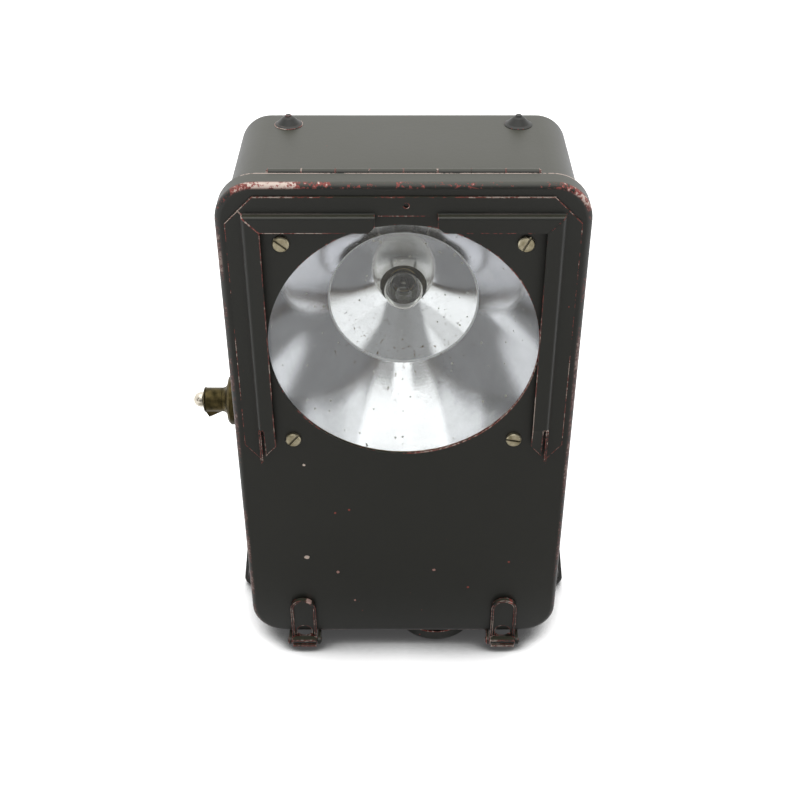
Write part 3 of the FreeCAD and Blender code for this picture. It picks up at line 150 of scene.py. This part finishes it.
white_paper, tree = blank_material("white_drawing_paper")
place = add_node(tree, "SeparateXYZ", {0: add_node(tree, "TexCoord").outputs["Object"]})
past_edge = add_node(tree, "MapRange", {
    "Value": place.outputs["Y"], "From Min": paper_edge, "From Max": table_dark},
    interpolation_type="SMOOTHSTEP")
off_middle = add_node(tree, "Math", {0: place.outputs["X"]}, operation="ABSOLUTE")
in_front = add_node(tree, "MapRange", {
    "Value": off_middle, "From Min": light_half, "From Max": dark_half}, interpolation_type="SMOOTHSTEP")
ray = add_node(tree, "LightPath")
indirect = add_node(tree, "Math", {0: 1.0, 1: ray.outputs["Is Camera Ray"]}, operation="SUBTRACT")
dark = add_node(tree, "Math", {0: past_edge, 1: in_front}, operation="MULTIPLY")
dark = add_node(tree, "Math", {0: dark, 1: indirect}, operation="MULTIPLY")
mottle = add_node(tree, "TexNoise", {"Scale": mottles_to_m, "Detail": 3.0})
pulp = add_node(tree, "ValToRGB", {"Fac": mottle})
pulp.color_ramp.elements[0].color = linear(pulp_white)
pulp.color_ramp.elements[1].color = linear(paper_white)
sheet_colour = add_node(tree, "MixRGB", {0: dark, 1: pulp.outputs["Color"], 2: linear(table_grey)})
# The camera sees the paper as white, all but a painted shadow under and round the lamp, about 20 mm
# wide: an ambient occlusion mask darkens its colour and holds back a painted white glow there.
near_lamp = add_node(tree, "AmbientOcclusion", {"Distance": shadow_reach}, samples=20)
open_air = add_node(tree, "MapRange", {
    "Value": near_lamp.outputs["AO"], "From Min": shadow_core, "From Max": shadow_rim,
    "To Min": shadow_level}, interpolation_type="SMOOTHSTEP")
shaded = add_node(tree, "MixRGB", {0: ray.outputs["Is Camera Ray"], 1: sheet_colour,
    2: open_air}, blend_type="MULTIPLY")
matt = add_node(tree, "BsdfDiffuse", {"Color": shaded})
glare = add_node(tree, "Math", {0: open_air, 1: ray.outputs["Is Camera Ray"]}, operation="MULTIPLY")
glare = add_node(tree, "Math", {0: glare, 1: painted_glow_level}, operation="MULTIPLY")
white = add_node(tree, "Emission", {"Color": linear(paper_white), "Strength": glare})
paper_look = add_node(tree, "AddShader", {0: matt, 1: white})
add_node(tree, "OutputMaterial", {"Surface": paper_look})
paper_mesh.materials.append(white_paper)


# The camera.
# It looks down at the lamp from in front and above, from so near that the lamp's top edge comes
# out about 1.2 times as wide as its foot. Its place and lens were worked out from the photograph.

look_down = 35.6
film_width, focal_length = 36.0, 55.08
camera_place = (-0.0119, -0.3338, 0.3396)
camera_data = bpy.data.cameras.new("camera")
camera = bpy.data.objects.new("camera", camera_data)
scene.collection.objects.link(camera)
camera_data.sensor_width = film_width
camera_data.lens = focal_length
camera_data.shift_x = -0.0044
camera_data.clip_start = 0.01
camera.location = camera_place
camera.rotation_euler = (math.radians(90.0 - look_down), 0.0, 0.0)
scene.camera = camera


# Rear case, with its conical studs, threaded foot and rivets.
# A deep drawn box of sheet steel, dipped in red oxide primer and stoved in near-black olive enamel.
# Handling has rubbed the enamel off its edges, first down to the primer and then to bright steel.

def stoved_enamel(name, worn, edge_mm=0.8, gloss=0.40, flecks=0.5, seed=0.0, dust=0.9, rubs=(),
        bare_mm=None, rolled=0.0):
    """Semi-gloss stoving enamel: worn is how much of its edges is gone, flecks how many chips lie
    on the flats. Each rub is a worn place: its X and Z and its radius in mm, and how bare it is.
    bare_mm is the depth behind which a cut edge is bare, and rolled how far the wear of the edges
    also reaches over a band rolled round the Y axis."""
    olive_black, worn_olive = "#13140F", "#191A15"
    red_oxide, worn_steel, dust_and_top_light_grey = "#8E3F37", "#D9CBC0", "#434337"
    patches_to_m, crumbs_to_m, knocks_to_m, smears_to_m, peel_to_m = 55.0, 850.0, 480.0, 16.0, 650.0
    chips_from, bright_from, bare_from = 1.15 - worn, 1.27 - worn, 0.99 - worn
    knocks_from = 0.80 - flecks * 0.05
    material, tree = blank_material(name)
    home = add_node(tree, "TexCoord").outputs["Object"]
    place = add_node(tree, "VectorMath", {0: home, 1: (seed, seed * 0.7, -seed)}, operation="ADD")
    true = add_node(tree, "NewGeometry").outputs["Normal"]
    facing = add_node(tree, "SeparateXYZ", {0: true})
    # On an outer edge or corner the normal, rounded over the width of the wear, leaves the true one.
    soft = add_node(tree, "Bevel", {"Radius": edge_mm / 1000}, samples=8)
    match = add_node(tree, "VectorMath", {0: soft.outputs["Normal"], 1: true}, operation="DOT_PRODUCT")
    edge = add_node(tree, "MapRange", {
        "Value": match.outputs["Value"], "From Min": 0.998, "From Max": 0.88})
    if rolled:
        # The band is where the sheet turns from the side, which faces square to Y, to the flat face.
        front = add_node(tree, "Math", {0: facing.outputs["Y"]}, operation="ABSOLUTE")
        onto = add_node(tree, "MapRange", {
            "Value": front, "From Min": 0.05, "From Max": 0.30, "To Max": rolled})
        off = add_node(tree, "MapRange", {"Value": front, "From Min": 0.985, "From Max": 0.90})
        upper = add_node(tree, "MapRange", {
            "Value": facing.outputs["Z"], "From Min": -0.1, "From Max": 0.6, "To Min": 0.12})
        band = add_node(tree, "Math", {0: onto, 1: off}, operation="MULTIPLY")
        band = add_node(tree, "Math", {0: band, 1: upper}, operation="MULTIPLY")
        edge = add_node(tree, "Math", {0: edge, 1: band}, operation="MAXIMUM")
    # Hands rub it in patches about 20 mm long, and the chips are 0.3 to 1.5 mm across.
    patches = add_node(tree, "TexNoise", {"Vector": place, "Scale": patches_to_m, "Detail": 2.0})
    crumbs = add_node(tree, "TexNoise", {
        "Vector": place, "Scale": crumbs_to_m, "Detail": 5.0, "Roughness": 0.65})
    rub = add_node(tree, "Math", {0: patches, 1: crumbs}, operation="ADD")
    gone = add_node(tree, "MapRange", {"Value": rub, "From Min": chips_from, "From Max": chips_from + 0.04})
    chipped = add_node(tree, "Math", {0: gone, 1: edge}, operation="MULTIPLY")
    bright = add_node(tree, "MapRange", {
        "Value": rub, "From Min": bright_from, "From Max": bright_from + 0.06})
    steel = add_node(tree, "Math", {0: bright, 1: chipped}, operation="MULTIPLY")
    if bare_mm is not None:
        # The cut edge of the sheet, behind this depth, keeps its enamel worst of all.
        depth = add_node(tree, "SeparateXYZ", {0: home}).outputs["Y"]
        back = add_node(tree, "MapRange", {
            "Value": depth, "From Min": (bare_mm - 0.25) / 1000, "From Max": (bare_mm + 0.1) / 1000})
        worse = add_node(tree, "MapRange", {
            "Value": rub, "From Min": bare_from, "From Max": bare_from + 0.09})
        cut_edge = add_node(tree, "Math", {0: back, 1: worse}, operation="MULTIPLY")
        chipped = add_node(tree, "Math", {0: chipped, 1: cut_edge}, operation="MAXIMUM")
        steel = add_node(tree, "Math", {0: steel, 1: cut_edge}, operation="MAXIMUM")
    # Small knocks away from the edges show as pinpricks of primer and of bright steel, 0.2 to 0.5 mm.
    knocks = add_node(tree, "TexNoise", {
        "Vector": place, "Scale": knocks_to_m, "Detail": 3.0, "Roughness": 0.6})
    knocked = add_node(tree, "MapRange", {
        "Value": knocks, "From Min": knocks_from, "From Max": knocks_from + 0.015})
    chipped = add_node(tree, "Math", {0: chipped, 1: knocked}, operation="MAXIMUM")
    for x, z, radius, bare in rubs:
        mean, rag = radius / 950, radius / 700
        flat_place = add_node(tree, "VectorMath", {0: home, 1: (1.0, 0.0, 1.0)}, operation="MULTIPLY")
        middle = (x / 1000, 0.0, z / 1000)
        away = add_node(tree, "VectorMath", {0: flat_place, 1: middle}, operation="DISTANCE")
        ragged = add_node(tree, "Math", {0: crumbs, 1: -rag, 2: mean + rag / 2}, operation="MULTIPLY_ADD")
        spot = add_node(tree, "Math", {0: away.outputs["Value"], 1: ragged}, operation="LESS_THAN")
        chipped = add_node(tree, "Math", {0: chipped, 1: spot}, operation="MAXIMUM")
        pale = add_node(tree, "Math", {0: spot, 1: bare}, operation="MULTIPLY")
        steel = add_node(tree, "Math", {0: steel, 1: pale}, operation="MAXIMUM")
    # Smears 60 mm long vary its tone and its gloss a little.
    smears = add_node(tree, "TexNoise", {
        "Vector": place, "Scale": smears_to_m, "Detail": 6.0, "Roughness": 0.6})
    coat = add_node(tree, "ValToRGB", {"Fac": smears})
    coat.color_ramp.elements[0].position = 0.3
    coat.color_ramp.elements[0].color = linear(olive_black)
    coat.color_ramp.elements[1].position = 0.75
    coat.color_ramp.elements[1].color = linear(worn_olive)
    # Dust settles on what faces up, and the same pale grey on upward faces is also painted light from
    # above.
    level = add_node(tree, "MapRange", {
        "Value": facing.outputs["Z"], "From Min": 0.5, "From Max": 0.98, "To Max": dust * 0.9})
    patchiness = add_node(tree, "MapRange", {"Value": smears, "From Min": 0.2, "From Max": 0.8, "To Min": 0.8})
    dust_and_top_light = add_node(tree, "Math", {0: level, 1: patchiness}, operation="MULTIPLY")
    dust_and_top_lit_coat = add_node(tree, "MixRGB", {0: dust_and_top_light, 1: coat.outputs["Color"], 2: linear(dust_and_top_light_grey)})
    primer = add_node(tree, "MixRGB", {0: chipped, 1: dust_and_top_lit_coat, 2: linear(red_oxide)})
    colour = add_node(tree, "MixRGB", {0: steel, 1: primer, 2: linear(worn_steel)})
    shine = add_node(tree, "MapRange", {
        "Value": smears, "From Min": 0.3, "From Max": 0.75, "To Min": gloss - 0.04, "To Max": gloss + 0.06})
    total = add_node(tree, "Math", {0: chipped, 1: 0.25, 2: shine}, operation="MULTIPLY_ADD")
    # Enamel flows out to a faint orange peel about 1.5 mm across, and a chip is a coat's depth down.
    peel = add_node(tree, "TexNoise", {"Vector": place, "Scale": peel_to_m, "Detail": 2.0})
    relief = add_node(tree, "Math", {0: chipped, 1: -0.8, 2: peel.outputs["Fac"]}, operation="MULTIPLY_ADD")
    bump = add_node(tree, "Bump", {"Height": relief, "Strength": 0.10, "Distance": 0.0002})
    metal_part = add_node(tree, "Math", {0: steel, 1: 0.6}, operation="MULTIPLY")
    paint = add_node(tree, "BsdfPrincipled", {
        "Base Color": colour, "Roughness": total, "Metallic": metal_part,
        "Normal": bump.outputs["Normal"]})
    add_node(tree, "OutputMaterial", {"Surface": paint})
    return material


def finish(material, *names):
    """Gives pieces of the frame their finish."""
    for name in names:
        nodes[name].data.materials.clear()
        nodes[name].data.materials.append(material)


finish(stoved_enamel("enamelled_case", 0.05, 0.9, flecks=0.6, seed=0.3),
    "rear_case", "tray_rivets", "back_rivets")
finish(stoved_enamel("enamelled_studs", 0.14, 0.5, flecks=0.9, seed=0.12, dust=0.15), "top_studs")
finish(stoved_enamel("enamelled_boss", 0.10, 0.9, gloss=0.66, flecks=1.1, seed=1.7, dust=0.0),
    "socket_boss")


# Front cover, with its hinge.
# A shallow pressed tray whose rolled band stands proud of the case all round, hung from rolled
# knuckles on a steel pin. Its band is knocked and rubbed more than any other part of the lamp.

finish(stoved_enamel("enamelled_cover", 0.14, 0.8, flecks=0.75, seed=0.55, bare_mm=-8.4, rolled=0.9, rubs=(
    (-45.0, 85.3, 0.45, 1.0), (-45.9, 43.9, 0.8, 0.9), (-35.2, 36.7, 0.5, 0.3), (-1.1, 37.7, 0.5, 0.3),
    (-35.3, 64.3, 0.35, 0.0), (-30.5, 65.7, 0.35, 0.0), (25.3, 41.5, 0.4, 0.0), (11.2, 29.3, 0.4, 0.0),
    (-29.5, 22.8, 0.35, 0.3))), "front_cover")
finish(stoved_enamel("enamelled_hinge", 0.20, 0.35, flecks=0.8, seed=2.2),
    "hinge_front_leaf", "hinge_rear_leaf", "hinge_pin")


# Filter guides.
# Three strips of folded sheet, spot welded round the window to hold a slide-in colour filter. The
# filters have scraped their folded lips and mitred ends down to primer and steel.

finish(stoved_enamel("enamelled_guides", 0.21, 0.45, flecks=0.9, seed=0.9),
    "left_filter_guide", "right_filter_guide", "top_filter_guide")


# Window.
# A disc of drawn sheet glass, bedded on a ring of natural rubber that has aged to ochre brown.
# Fine dust lies on the glass, about one grain to the square millimetre.

def old_glass(name, tint, dust):
    """Clear glass that bends light as soda glass does: dust is how solid its grains look."""
    grains_to_m, drifts_to_m, largest_grain = 900.0, 70.0, 0.16
    material, tree = blank_material(name)
    place = add_node(tree, "TexCoord").outputs["Object"]
    grains = add_node(tree, "TexVoronoi", {"Vector": place, "Scale": grains_to_m})
    drift = add_node(tree, "TexNoise", {"Vector": place, "Scale": drifts_to_m, "Detail": 4.0})
    size = add_node(tree, "MapRange", {
        "Value": drift, "From Min": 0.35, "From Max": 0.75, "To Max": largest_grain})
    grain = add_node(tree, "Math", {0: grains.outputs["Distance"], 1: size}, operation="LESS_THAN")
    settled = add_node(tree, "Math", {0: grain, 1: dust}, operation="MULTIPLY")
    clear = add_node(tree, "BsdfPrincipled", {
        "Base Color": linear(tint), "Roughness": 0.0, "IOR": 1.5, "Transmission Weight": 1.0})
    # Light goes straight through to what is behind, so the glass casts no dark shadow.
    open_way = add_node(tree, "BsdfTransparent", {"Color": linear("#F6F8F7")})
    ray = add_node(tree, "LightPath")
    lit = add_node(tree, "MixShader", {0: ray.outputs["Is Shadow Ray"], 1: clear, 2: open_way})
    speck = add_node(tree, "BsdfDiffuse", {"Color": linear("#B9B3A4")})
    body = add_node(tree, "MixShader", {0: settled, 1: lit, 2: speck})
    add_node(tree, "OutputMaterial", {"Surface": body})
    return material


def dull_stuff(name, low, high, roughness, mottles_to_m):
    """A matt moulded, cut or pressed material, mottled between two tones."""
    material, tree = blank_material(name)
    place = add_node(tree, "TexCoord").outputs["Object"]
    tone = add_node(tree, "TexNoise", {
        "Vector": place, "Scale": mottles_to_m, "Detail": 6.0, "Roughness": 0.65})
    ramp = add_node(tree, "ValToRGB", {"Fac": tone})
    ramp.color_ramp.elements[0].position = 0.3
    ramp.color_ramp.elements[0].color = linear(low)
    ramp.color_ramp.elements[1].position = 0.7
    ramp.color_ramp.elements[1].color = linear(high)
    bump = add_node(tree, "Bump", {"Height": tone, "Strength": 0.3, "Distance": 0.0002})
    surface = add_node(tree, "BsdfPrincipled", {
        "Base Color": ramp.outputs["Color"], "Roughness": roughness, "Normal": bump.outputs["Normal"]})
    add_node(tree, "OutputMaterial", {"Surface": surface})
    return material


finish(old_glass("drawn_sheet_glass", "#FCFEFD", 0.5), "window_glass")
finish(dull_stuff("aged_natural_rubber", "#6E552F", "#94763F", 0.7, 500.0), "window_gasket")
finish(dull_stuff("black_sponge_rubber", "#121211", "#20201F", 0.85, 600.0), "cover_seal")


# Reflector.
# Aluminium sheet spun over a former and buffed: a deep bowl, and past a sharp crease a flatter one
# round the bulb. The tool has left fine rings, and long keeping has left dust and specks of tarnish.

axis_x, axis_z = -0.0119, 0.1323
sheet_y = -0.0127
ring_steps = 256
# Radius, and depth behind the rim, of its three turns, in mm as in the CAD reflector.
rim, crease, neck = (43.0, 0.0), (24.5, 26.0), (7.8, 34.7)
outer_cone, inner_cone = 0.5, 0.6
neck_back = 38.0
flange_rim = 45.3
rim_bend = 0.3
spun_sheet = 0.5
# How a wall that slants by some 40 degrees shares its thickness between radius and depth.
sheet_out, sheet_back = spun_sheet * 0.75, spun_sheet * 0.65
sharp_edge = math.radians(12)


def bowl_line(start, end, steps, straight):
    """Radius and depth in mm from start to end: a parabola, drawn toward a cone by straight, 0 to 1."""
    focal = (start[0] ** 2 - end[0] ** 2) / (end[1] - start[1])
    depths = [start[1] + (end[1] - start[1]) * i / steps for i in range(steps + 1)]
    cone = (end[0] - start[0]) / (end[1] - start[1])
    return [(math.sqrt(start[0] ** 2 - focal * (y - start[1])) * (1 - straight)
        + (start[0] + cone * (y - start[1])) * straight, y) for y in depths]


outer_bowl = bowl_line(rim, crease, 40, outer_cone)
inner_bowl = bowl_line(crease, neck, 24, inner_cone)
inside = [(flange_rim, 0.0)] + outer_bowl + inner_bowl[1:] + [(neck[0], neck_back)]
outside = [(neck[0] + spun_sheet, neck_back)]
outside += [(r + sheet_out, y + sheet_back) for r, y in reversed(outer_bowl[2:] + inner_bowl[1:-2])]
outside += [(rim[0] + rim_bend, spun_sheet), (flange_rim, spun_sheet)]
spun = bmesh.new()
rings = []
for radius, depth in inside + outside:
    ring = []
    for i in range(ring_steps):
        angle = 2 * math.pi * i / ring_steps
        ring.append(spun.verts.new((axis_x + radius * math.cos(angle) / 1000, sheet_y + depth / 1000,
            axis_z + radius * math.sin(angle) / 1000)))
    rings.append(ring)
for a, ring in enumerate(rings):
    following = rings[(a + 1) % len(rings)]
    for i in range(ring_steps):
        j = (i + 1) % ring_steps
        face = spun.faces.new((ring[i], ring[j], following[j], following[i]))
        face.smooth = True
bmesh.ops.recalc_face_normals(spun, faces=spun.faces)
for edge in spun.edges:
    if edge.calc_face_angle(0.0) > sharp_edge:
        edge.smooth = False
spun_mesh = bpy.data.meshes.new("spun_reflector")
spun.to_mesh(spun_mesh)
spun.free()
spun_reflector = bpy.data.objects.new("spun_reflector", spun_mesh)
scene.collection.objects.link(spun_reflector)
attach(spun_reflector, "cover")
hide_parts("reflector")

rings_to_m, clouds_to_m, pricks_to_m, grit_to_m = 1400.0, 60.0, 420.0, 800.0
crease_highlight_mm = 0.32
grit_from = 0.62
buffed, tree = blank_material("buffed_spun_aluminium")
home = add_node(tree, "TexCoord").outputs["Object"]
out = add_node(tree, "VectorMath", {0: home, 1: (axis_x, sheet_y, axis_z)}, operation="SUBTRACT")
flat_out = add_node(tree, "VectorMath", {0: out, 1: (1.0, 0.0, 1.0)}, operation="MULTIPLY")
radius = add_node(tree, "VectorMath", {0: flat_out}, operation="LENGTH").outputs["Value"]
# The spinning tool's rings are 0.1 to 0.3 mm apart; drawn 0.7 mm apart, and broken by the buffing.
ring_place = add_node(tree, "CombineXYZ", {0: radius})
tool_rings = add_node(tree, "TexNoise", {"Vector": ring_place, "Scale": rings_to_m, "Detail": 3.0})
cloudy = add_node(tree, "TexNoise", {"Vector": home, "Scale": clouds_to_m, "Detail": 5.0, "Roughness": 0.6})
tone = add_node(tree, "ValToRGB", {"Fac": cloudy})
tone.color_ramp.elements[0].position = 0.3
tone.color_ramp.elements[0].color = linear("#E0E0E3")
tone.color_ramp.elements[1].position = 0.7
tone.color_ramp.elements[1].color = linear("#F0F0F3")
polish = add_node(tree, "MapRange", {
    "Value": cloudy, "From Min": 0.3, "From Max": 0.7, "To Min": 0.13, "To Max": 0.08})
bump = add_node(tree, "Bump", {"Height": tool_rings, "Strength": 0.05, "Distance": 0.0001})
metal = add_node(tree, "BsdfPrincipled", {
    "Base Color": tone.outputs["Color"], "Roughness": polish, "Metallic": 1.0,
    "Normal": bump.outputs["Normal"]})
# A pale, rougher ring over the crease's own small radius, 0.3 mm, is a painted highlight for the light it
# catches from all round.
at_crease = add_node(tree, "Math", {
    0: radius, 1: crease[0] / 1000, 2: crease_highlight_mm / 1000}, operation="COMPARE")
painted_crease_highlight = add_node(tree, "BsdfPrincipled", {
    "Base Color": linear("#F4F4F6"), "Roughness": 0.5, "Metallic": 0.7})
metal = add_node(tree, "MixShader", {0: at_crease, 1: metal, 2: painted_crease_highlight})
# Specks 0.1 to 0.4 mm across: grey-white pinpricks of tarnish all over, ochre dust low in the bowls.
pricks = add_node(tree, "TexVoronoi", {"Vector": home, "Scale": pricks_to_m})
chance = add_node(tree, "SeparateColor", {0: pricks.outputs["Color"]})
prick_size = add_node(tree, "MapRange", {"Value": chance.outputs["Red"], "From Min": 0.5, "To Max": 0.2})
prick = add_node(tree, "Math", {0: pricks.outputs["Distance"], 1: prick_size}, operation="LESS_THAN")
low_down = add_node(tree, "SeparateXYZ", {0: out})
lower = add_node(tree, "MapRange", {"Value": low_down.outputs["Z"], "From Min": 0.006, "From Max": -0.016})
grit = add_node(tree, "TexNoise", {"Vector": home, "Scale": grit_to_m, "Detail": 4.0, "Roughness": 0.7})
gritty = add_node(tree, "MapRange", {"Value": grit, "From Min": grit_from, "From Max": grit_from + 0.05})
near_bulb = add_node(tree, "MapRange", {
    "Value": radius, "From Min": 0.037, "From Max": 0.027, "To Min": 0.12})
grime_and_shade = add_node(tree, "Math", {0: gritty, 1: lower}, operation="MULTIPLY")
grime_and_shade = add_node(tree, "Math", {0: grime_and_shade, 1: near_bulb}, operation="MULTIPLY")
pale_speck = add_node(tree, "BsdfDiffuse", {"Color": linear("#C9C6BC")})
ochre_speck = add_node(tree, "BsdfDiffuse", {"Color": linear("#6F5A33")})
pricked = add_node(tree, "MixShader", {0: prick, 1: metal, 2: pale_speck})
dirty = add_node(tree, "MixShader", {0: grime_and_shade, 1: pricked, 2: ochre_speck})
add_node(tree, "OutputMaterial", {"Surface": dirty})
spun_mesh.materials.append(buffed)


# Clamp frame, its screws, spacers and nuts.
# Four slotted cheese-head screws of nickel-plated brass pull a square steel frame against the
# reflector's flange. The nickel has yellowed, and the slots are darkened with painted shade.

def bare_metal(name, low, high, roughness, mottles_to_m, grime_and_shade="#000000", shade_reach_mm=0.6, shade_part=0.0):
    """A bare or plated metal whose tone and polish vary a little, with painted shade in its corners: its
    colour, how far it reaches from them, and how much of the metal it hides there."""
    material, tree = blank_material(name)
    place = add_node(tree, "TexCoord").outputs["Object"]
    tone = add_node(tree, "TexNoise", {
        "Vector": place, "Scale": mottles_to_m, "Detail": 6.0, "Roughness": 0.6})
    ramp = add_node(tree, "ValToRGB", {"Fac": tone})
    ramp.color_ramp.elements[0].position = 0.3
    ramp.color_ramp.elements[0].color = linear(low)
    ramp.color_ramp.elements[1].position = 0.7
    ramp.color_ramp.elements[1].color = linear(high)
    # An ambient occlusion mask darkens corners, slots and joins toward the dark colour given: painted
    # shade.
    corner = add_node(tree, "AmbientOcclusion", {"Distance": shade_reach_mm / 1000}, samples=8)
    corner_shade = add_node(tree, "MapRange", {
        "Value": corner.outputs["AO"], "From Min": 0.85, "From Max": 0.45, "To Max": shade_part})
    colour = add_node(tree, "MixRGB", {0: corner_shade, 1: ramp.outputs["Color"], 2: linear(grime_and_shade)})
    polish = add_node(tree, "MapRange", {
        "Value": tone, "From Min": 0.3, "From Max": 0.7,
        "To Min": roughness + 0.1, "To Max": roughness - 0.05})
    unshaded = add_node(tree, "Math", {0: 1.0, 1: corner_shade}, operation="SUBTRACT")
    bump = add_node(tree, "Bump", {"Height": tone, "Strength": 0.08, "Distance": 0.0001})
    surface = add_node(tree, "BsdfPrincipled", {
        "Base Color": colour, "Roughness": polish, "Metallic": unshaded,
        "Normal": bump.outputs["Normal"]})
    add_node(tree, "OutputMaterial", {"Surface": surface})
    return material


finish(bare_metal("yellowed_nickel_plate", "#8E8468", "#D2CAB0", 0.30, 420.0, "#14120C", 0.7, 1.0),
    "clamp_screws")
finish(bare_metal("dull_tinned_steel", "#77777A", "#A4A4A2", 0.40, 300.0, "#1C1A17", 0.8, 0.7),
    "clamp_frame", "clamp_spacers", "clamp_nuts")


# Bulb.
# A small round bulb of blown glass, cemented into a screw cap of stamped brass. Two nickel wires,
# held apart by a glass bead, carry a short tungsten filament.

finish(old_glass("blown_lead_glass", "#FBFBF8", 0.25), "bulb_glass")
finish(bare_metal("stamped_brass_cap", "#8F7A45", "#C4AC6A", 0.32, 300.0, "#241C0E", 0.6, 0.8), "bulb_cap")
finish(dull_stuff("black_vitrite_and_cement", "#1B1917", "#2E2B27", 0.6, 400.0), "bulb_insulator")
finish(bare_metal("tin_solder", "#8D8F90", "#B9BABA", 0.35, 500.0), "bulb_contact")
finish(bare_metal("nickel_support_wire", "#6E6C66", "#A3A098", 0.35, 800.0), "filament_supports")
finish(bare_metal("coiled_tungsten", "#3A3A3C", "#5E5E61", 0.45, 1200.0), "filament")


# Lamp holder and its feed.
# Pressed brass shell and centre contact behind the reflector, riveted through a washer of red
# fibre board; all of it is hidden until the cover is opened.

finish(bare_metal("pressed_yellow_brass", "#8C7642", "#C1A865", 0.34, 260.0, "#2A2010", 0.8, 0.8),
    "holder_contact", "lamp_feed_strip", "key_feed_strip", "contact_springs", "battery_terminals",
    "contact_rivets")
# The shell's brass is darkened almost to black: painted shade, standing for the dark gap round the bulb's
# cap.
finish(bare_metal("shade_darkened_brass_shell", "#25221A", "#474030", 0.45, 260.0, "#0E0C08", 1.0, 0.8),
    "lamp_holder")
finish(dull_stuff("red_vulcanised_fibre", "#4A261B", "#6E3A29", 0.65, 350.0),
    "holder_insulator", "contact_board", "strip_insulator")


# Battery, its tray, springs and brackets.
# A flat three-cell battery in waxed card stands in a tray of zinc-plated steel, steadied by a bow
# of spring steel on the cover. The brackets and rivets are plated the same dull grey.

finish(dull_stuff("waxed_brown_card", "#86693F", "#A58A5A", 0.55, 180.0), "battery")
finish(bare_metal("dull_zinc_plate", "#7C7E80", "#A9ABAB", 0.42, 260.0, "#26241F", 1.0, 0.7),
    "battery_tray", "board_brackets", "board_rivets", "socket_nut")
finish(bare_metal("blued_spring_steel", "#3E4249", "#60656C", 0.32, 300.0), "battery_press_spring")


# Signal key on the left side.
# A turned brass base, nut and lock collar, gone olive brown with age and rubbed yellow on their
# edges, round a nickelled ball on a stem, with a music wire spring and a retaining ring inside.

finish(bare_metal("tarnished_turned_brass", "#2C2817", "#5E5336", 0.40, 380.0, "#0C0B08", 1.0, 0.8),
    "key_base", "key_collar", "key_nut")
finish(bare_metal("worn_nickel_ball", "#B9B0A0", "#DDD6C8", 0.16, 420.0), "key_button")
finish(bare_metal("bronze_ring", "#7A6238", "#A98F57", 0.35, 400.0), "key_retainer")
finish(bare_metal("music_wire", "#55585C", "#8A8D90", 0.28, 600.0), "key_spring")


# Spring latches under the cover.
# Two pressed clips of spring steel hook over the cover's lower edge. Fingers have worn the top of
# each to bare steel, and the enamel is chipped where it snaps over the edge.

finish(stoved_enamel("enamelled_latches", 0.14, 0.4, flecks=1.0, seed=3.1, rubs=(
    (-46.0, 23.4, 1.0, 0.5), (26.6, 22.9, 0.8, 0.0), (-49.5, 8.8, 0.8, 0.4), (24.0, 8.6, 0.8, 0.2))),
    "left_latch", "right_latch")
finish(stoved_enamel("enamelled_brackets", 0.12, 0.4, flecks=0.8, seed=4.0),
    "left_latch_bracket", "right_latch_bracket", "latch_pins", "bracket_rivets")


# Carrying bail.
# One length of flat steel that runs down both sides and under the case, where it is also the rear
# foot. It turns on a shouldered rivet and a washer at each side, and is enamelled with the case.

finish(stoved_enamel("enamelled_bail", 0.12, 0.5, flecks=0.7, seed=5.2),
    "bail", "bail_washers", "bail_rivets")


# Every piece has its finish, but for the plain reflector, which the spun one stands for.

unfinished = [name for name, node in nodes.items() if not node.data.materials]
assert unfinished == ["reflector"] or not unfinished, unfinished
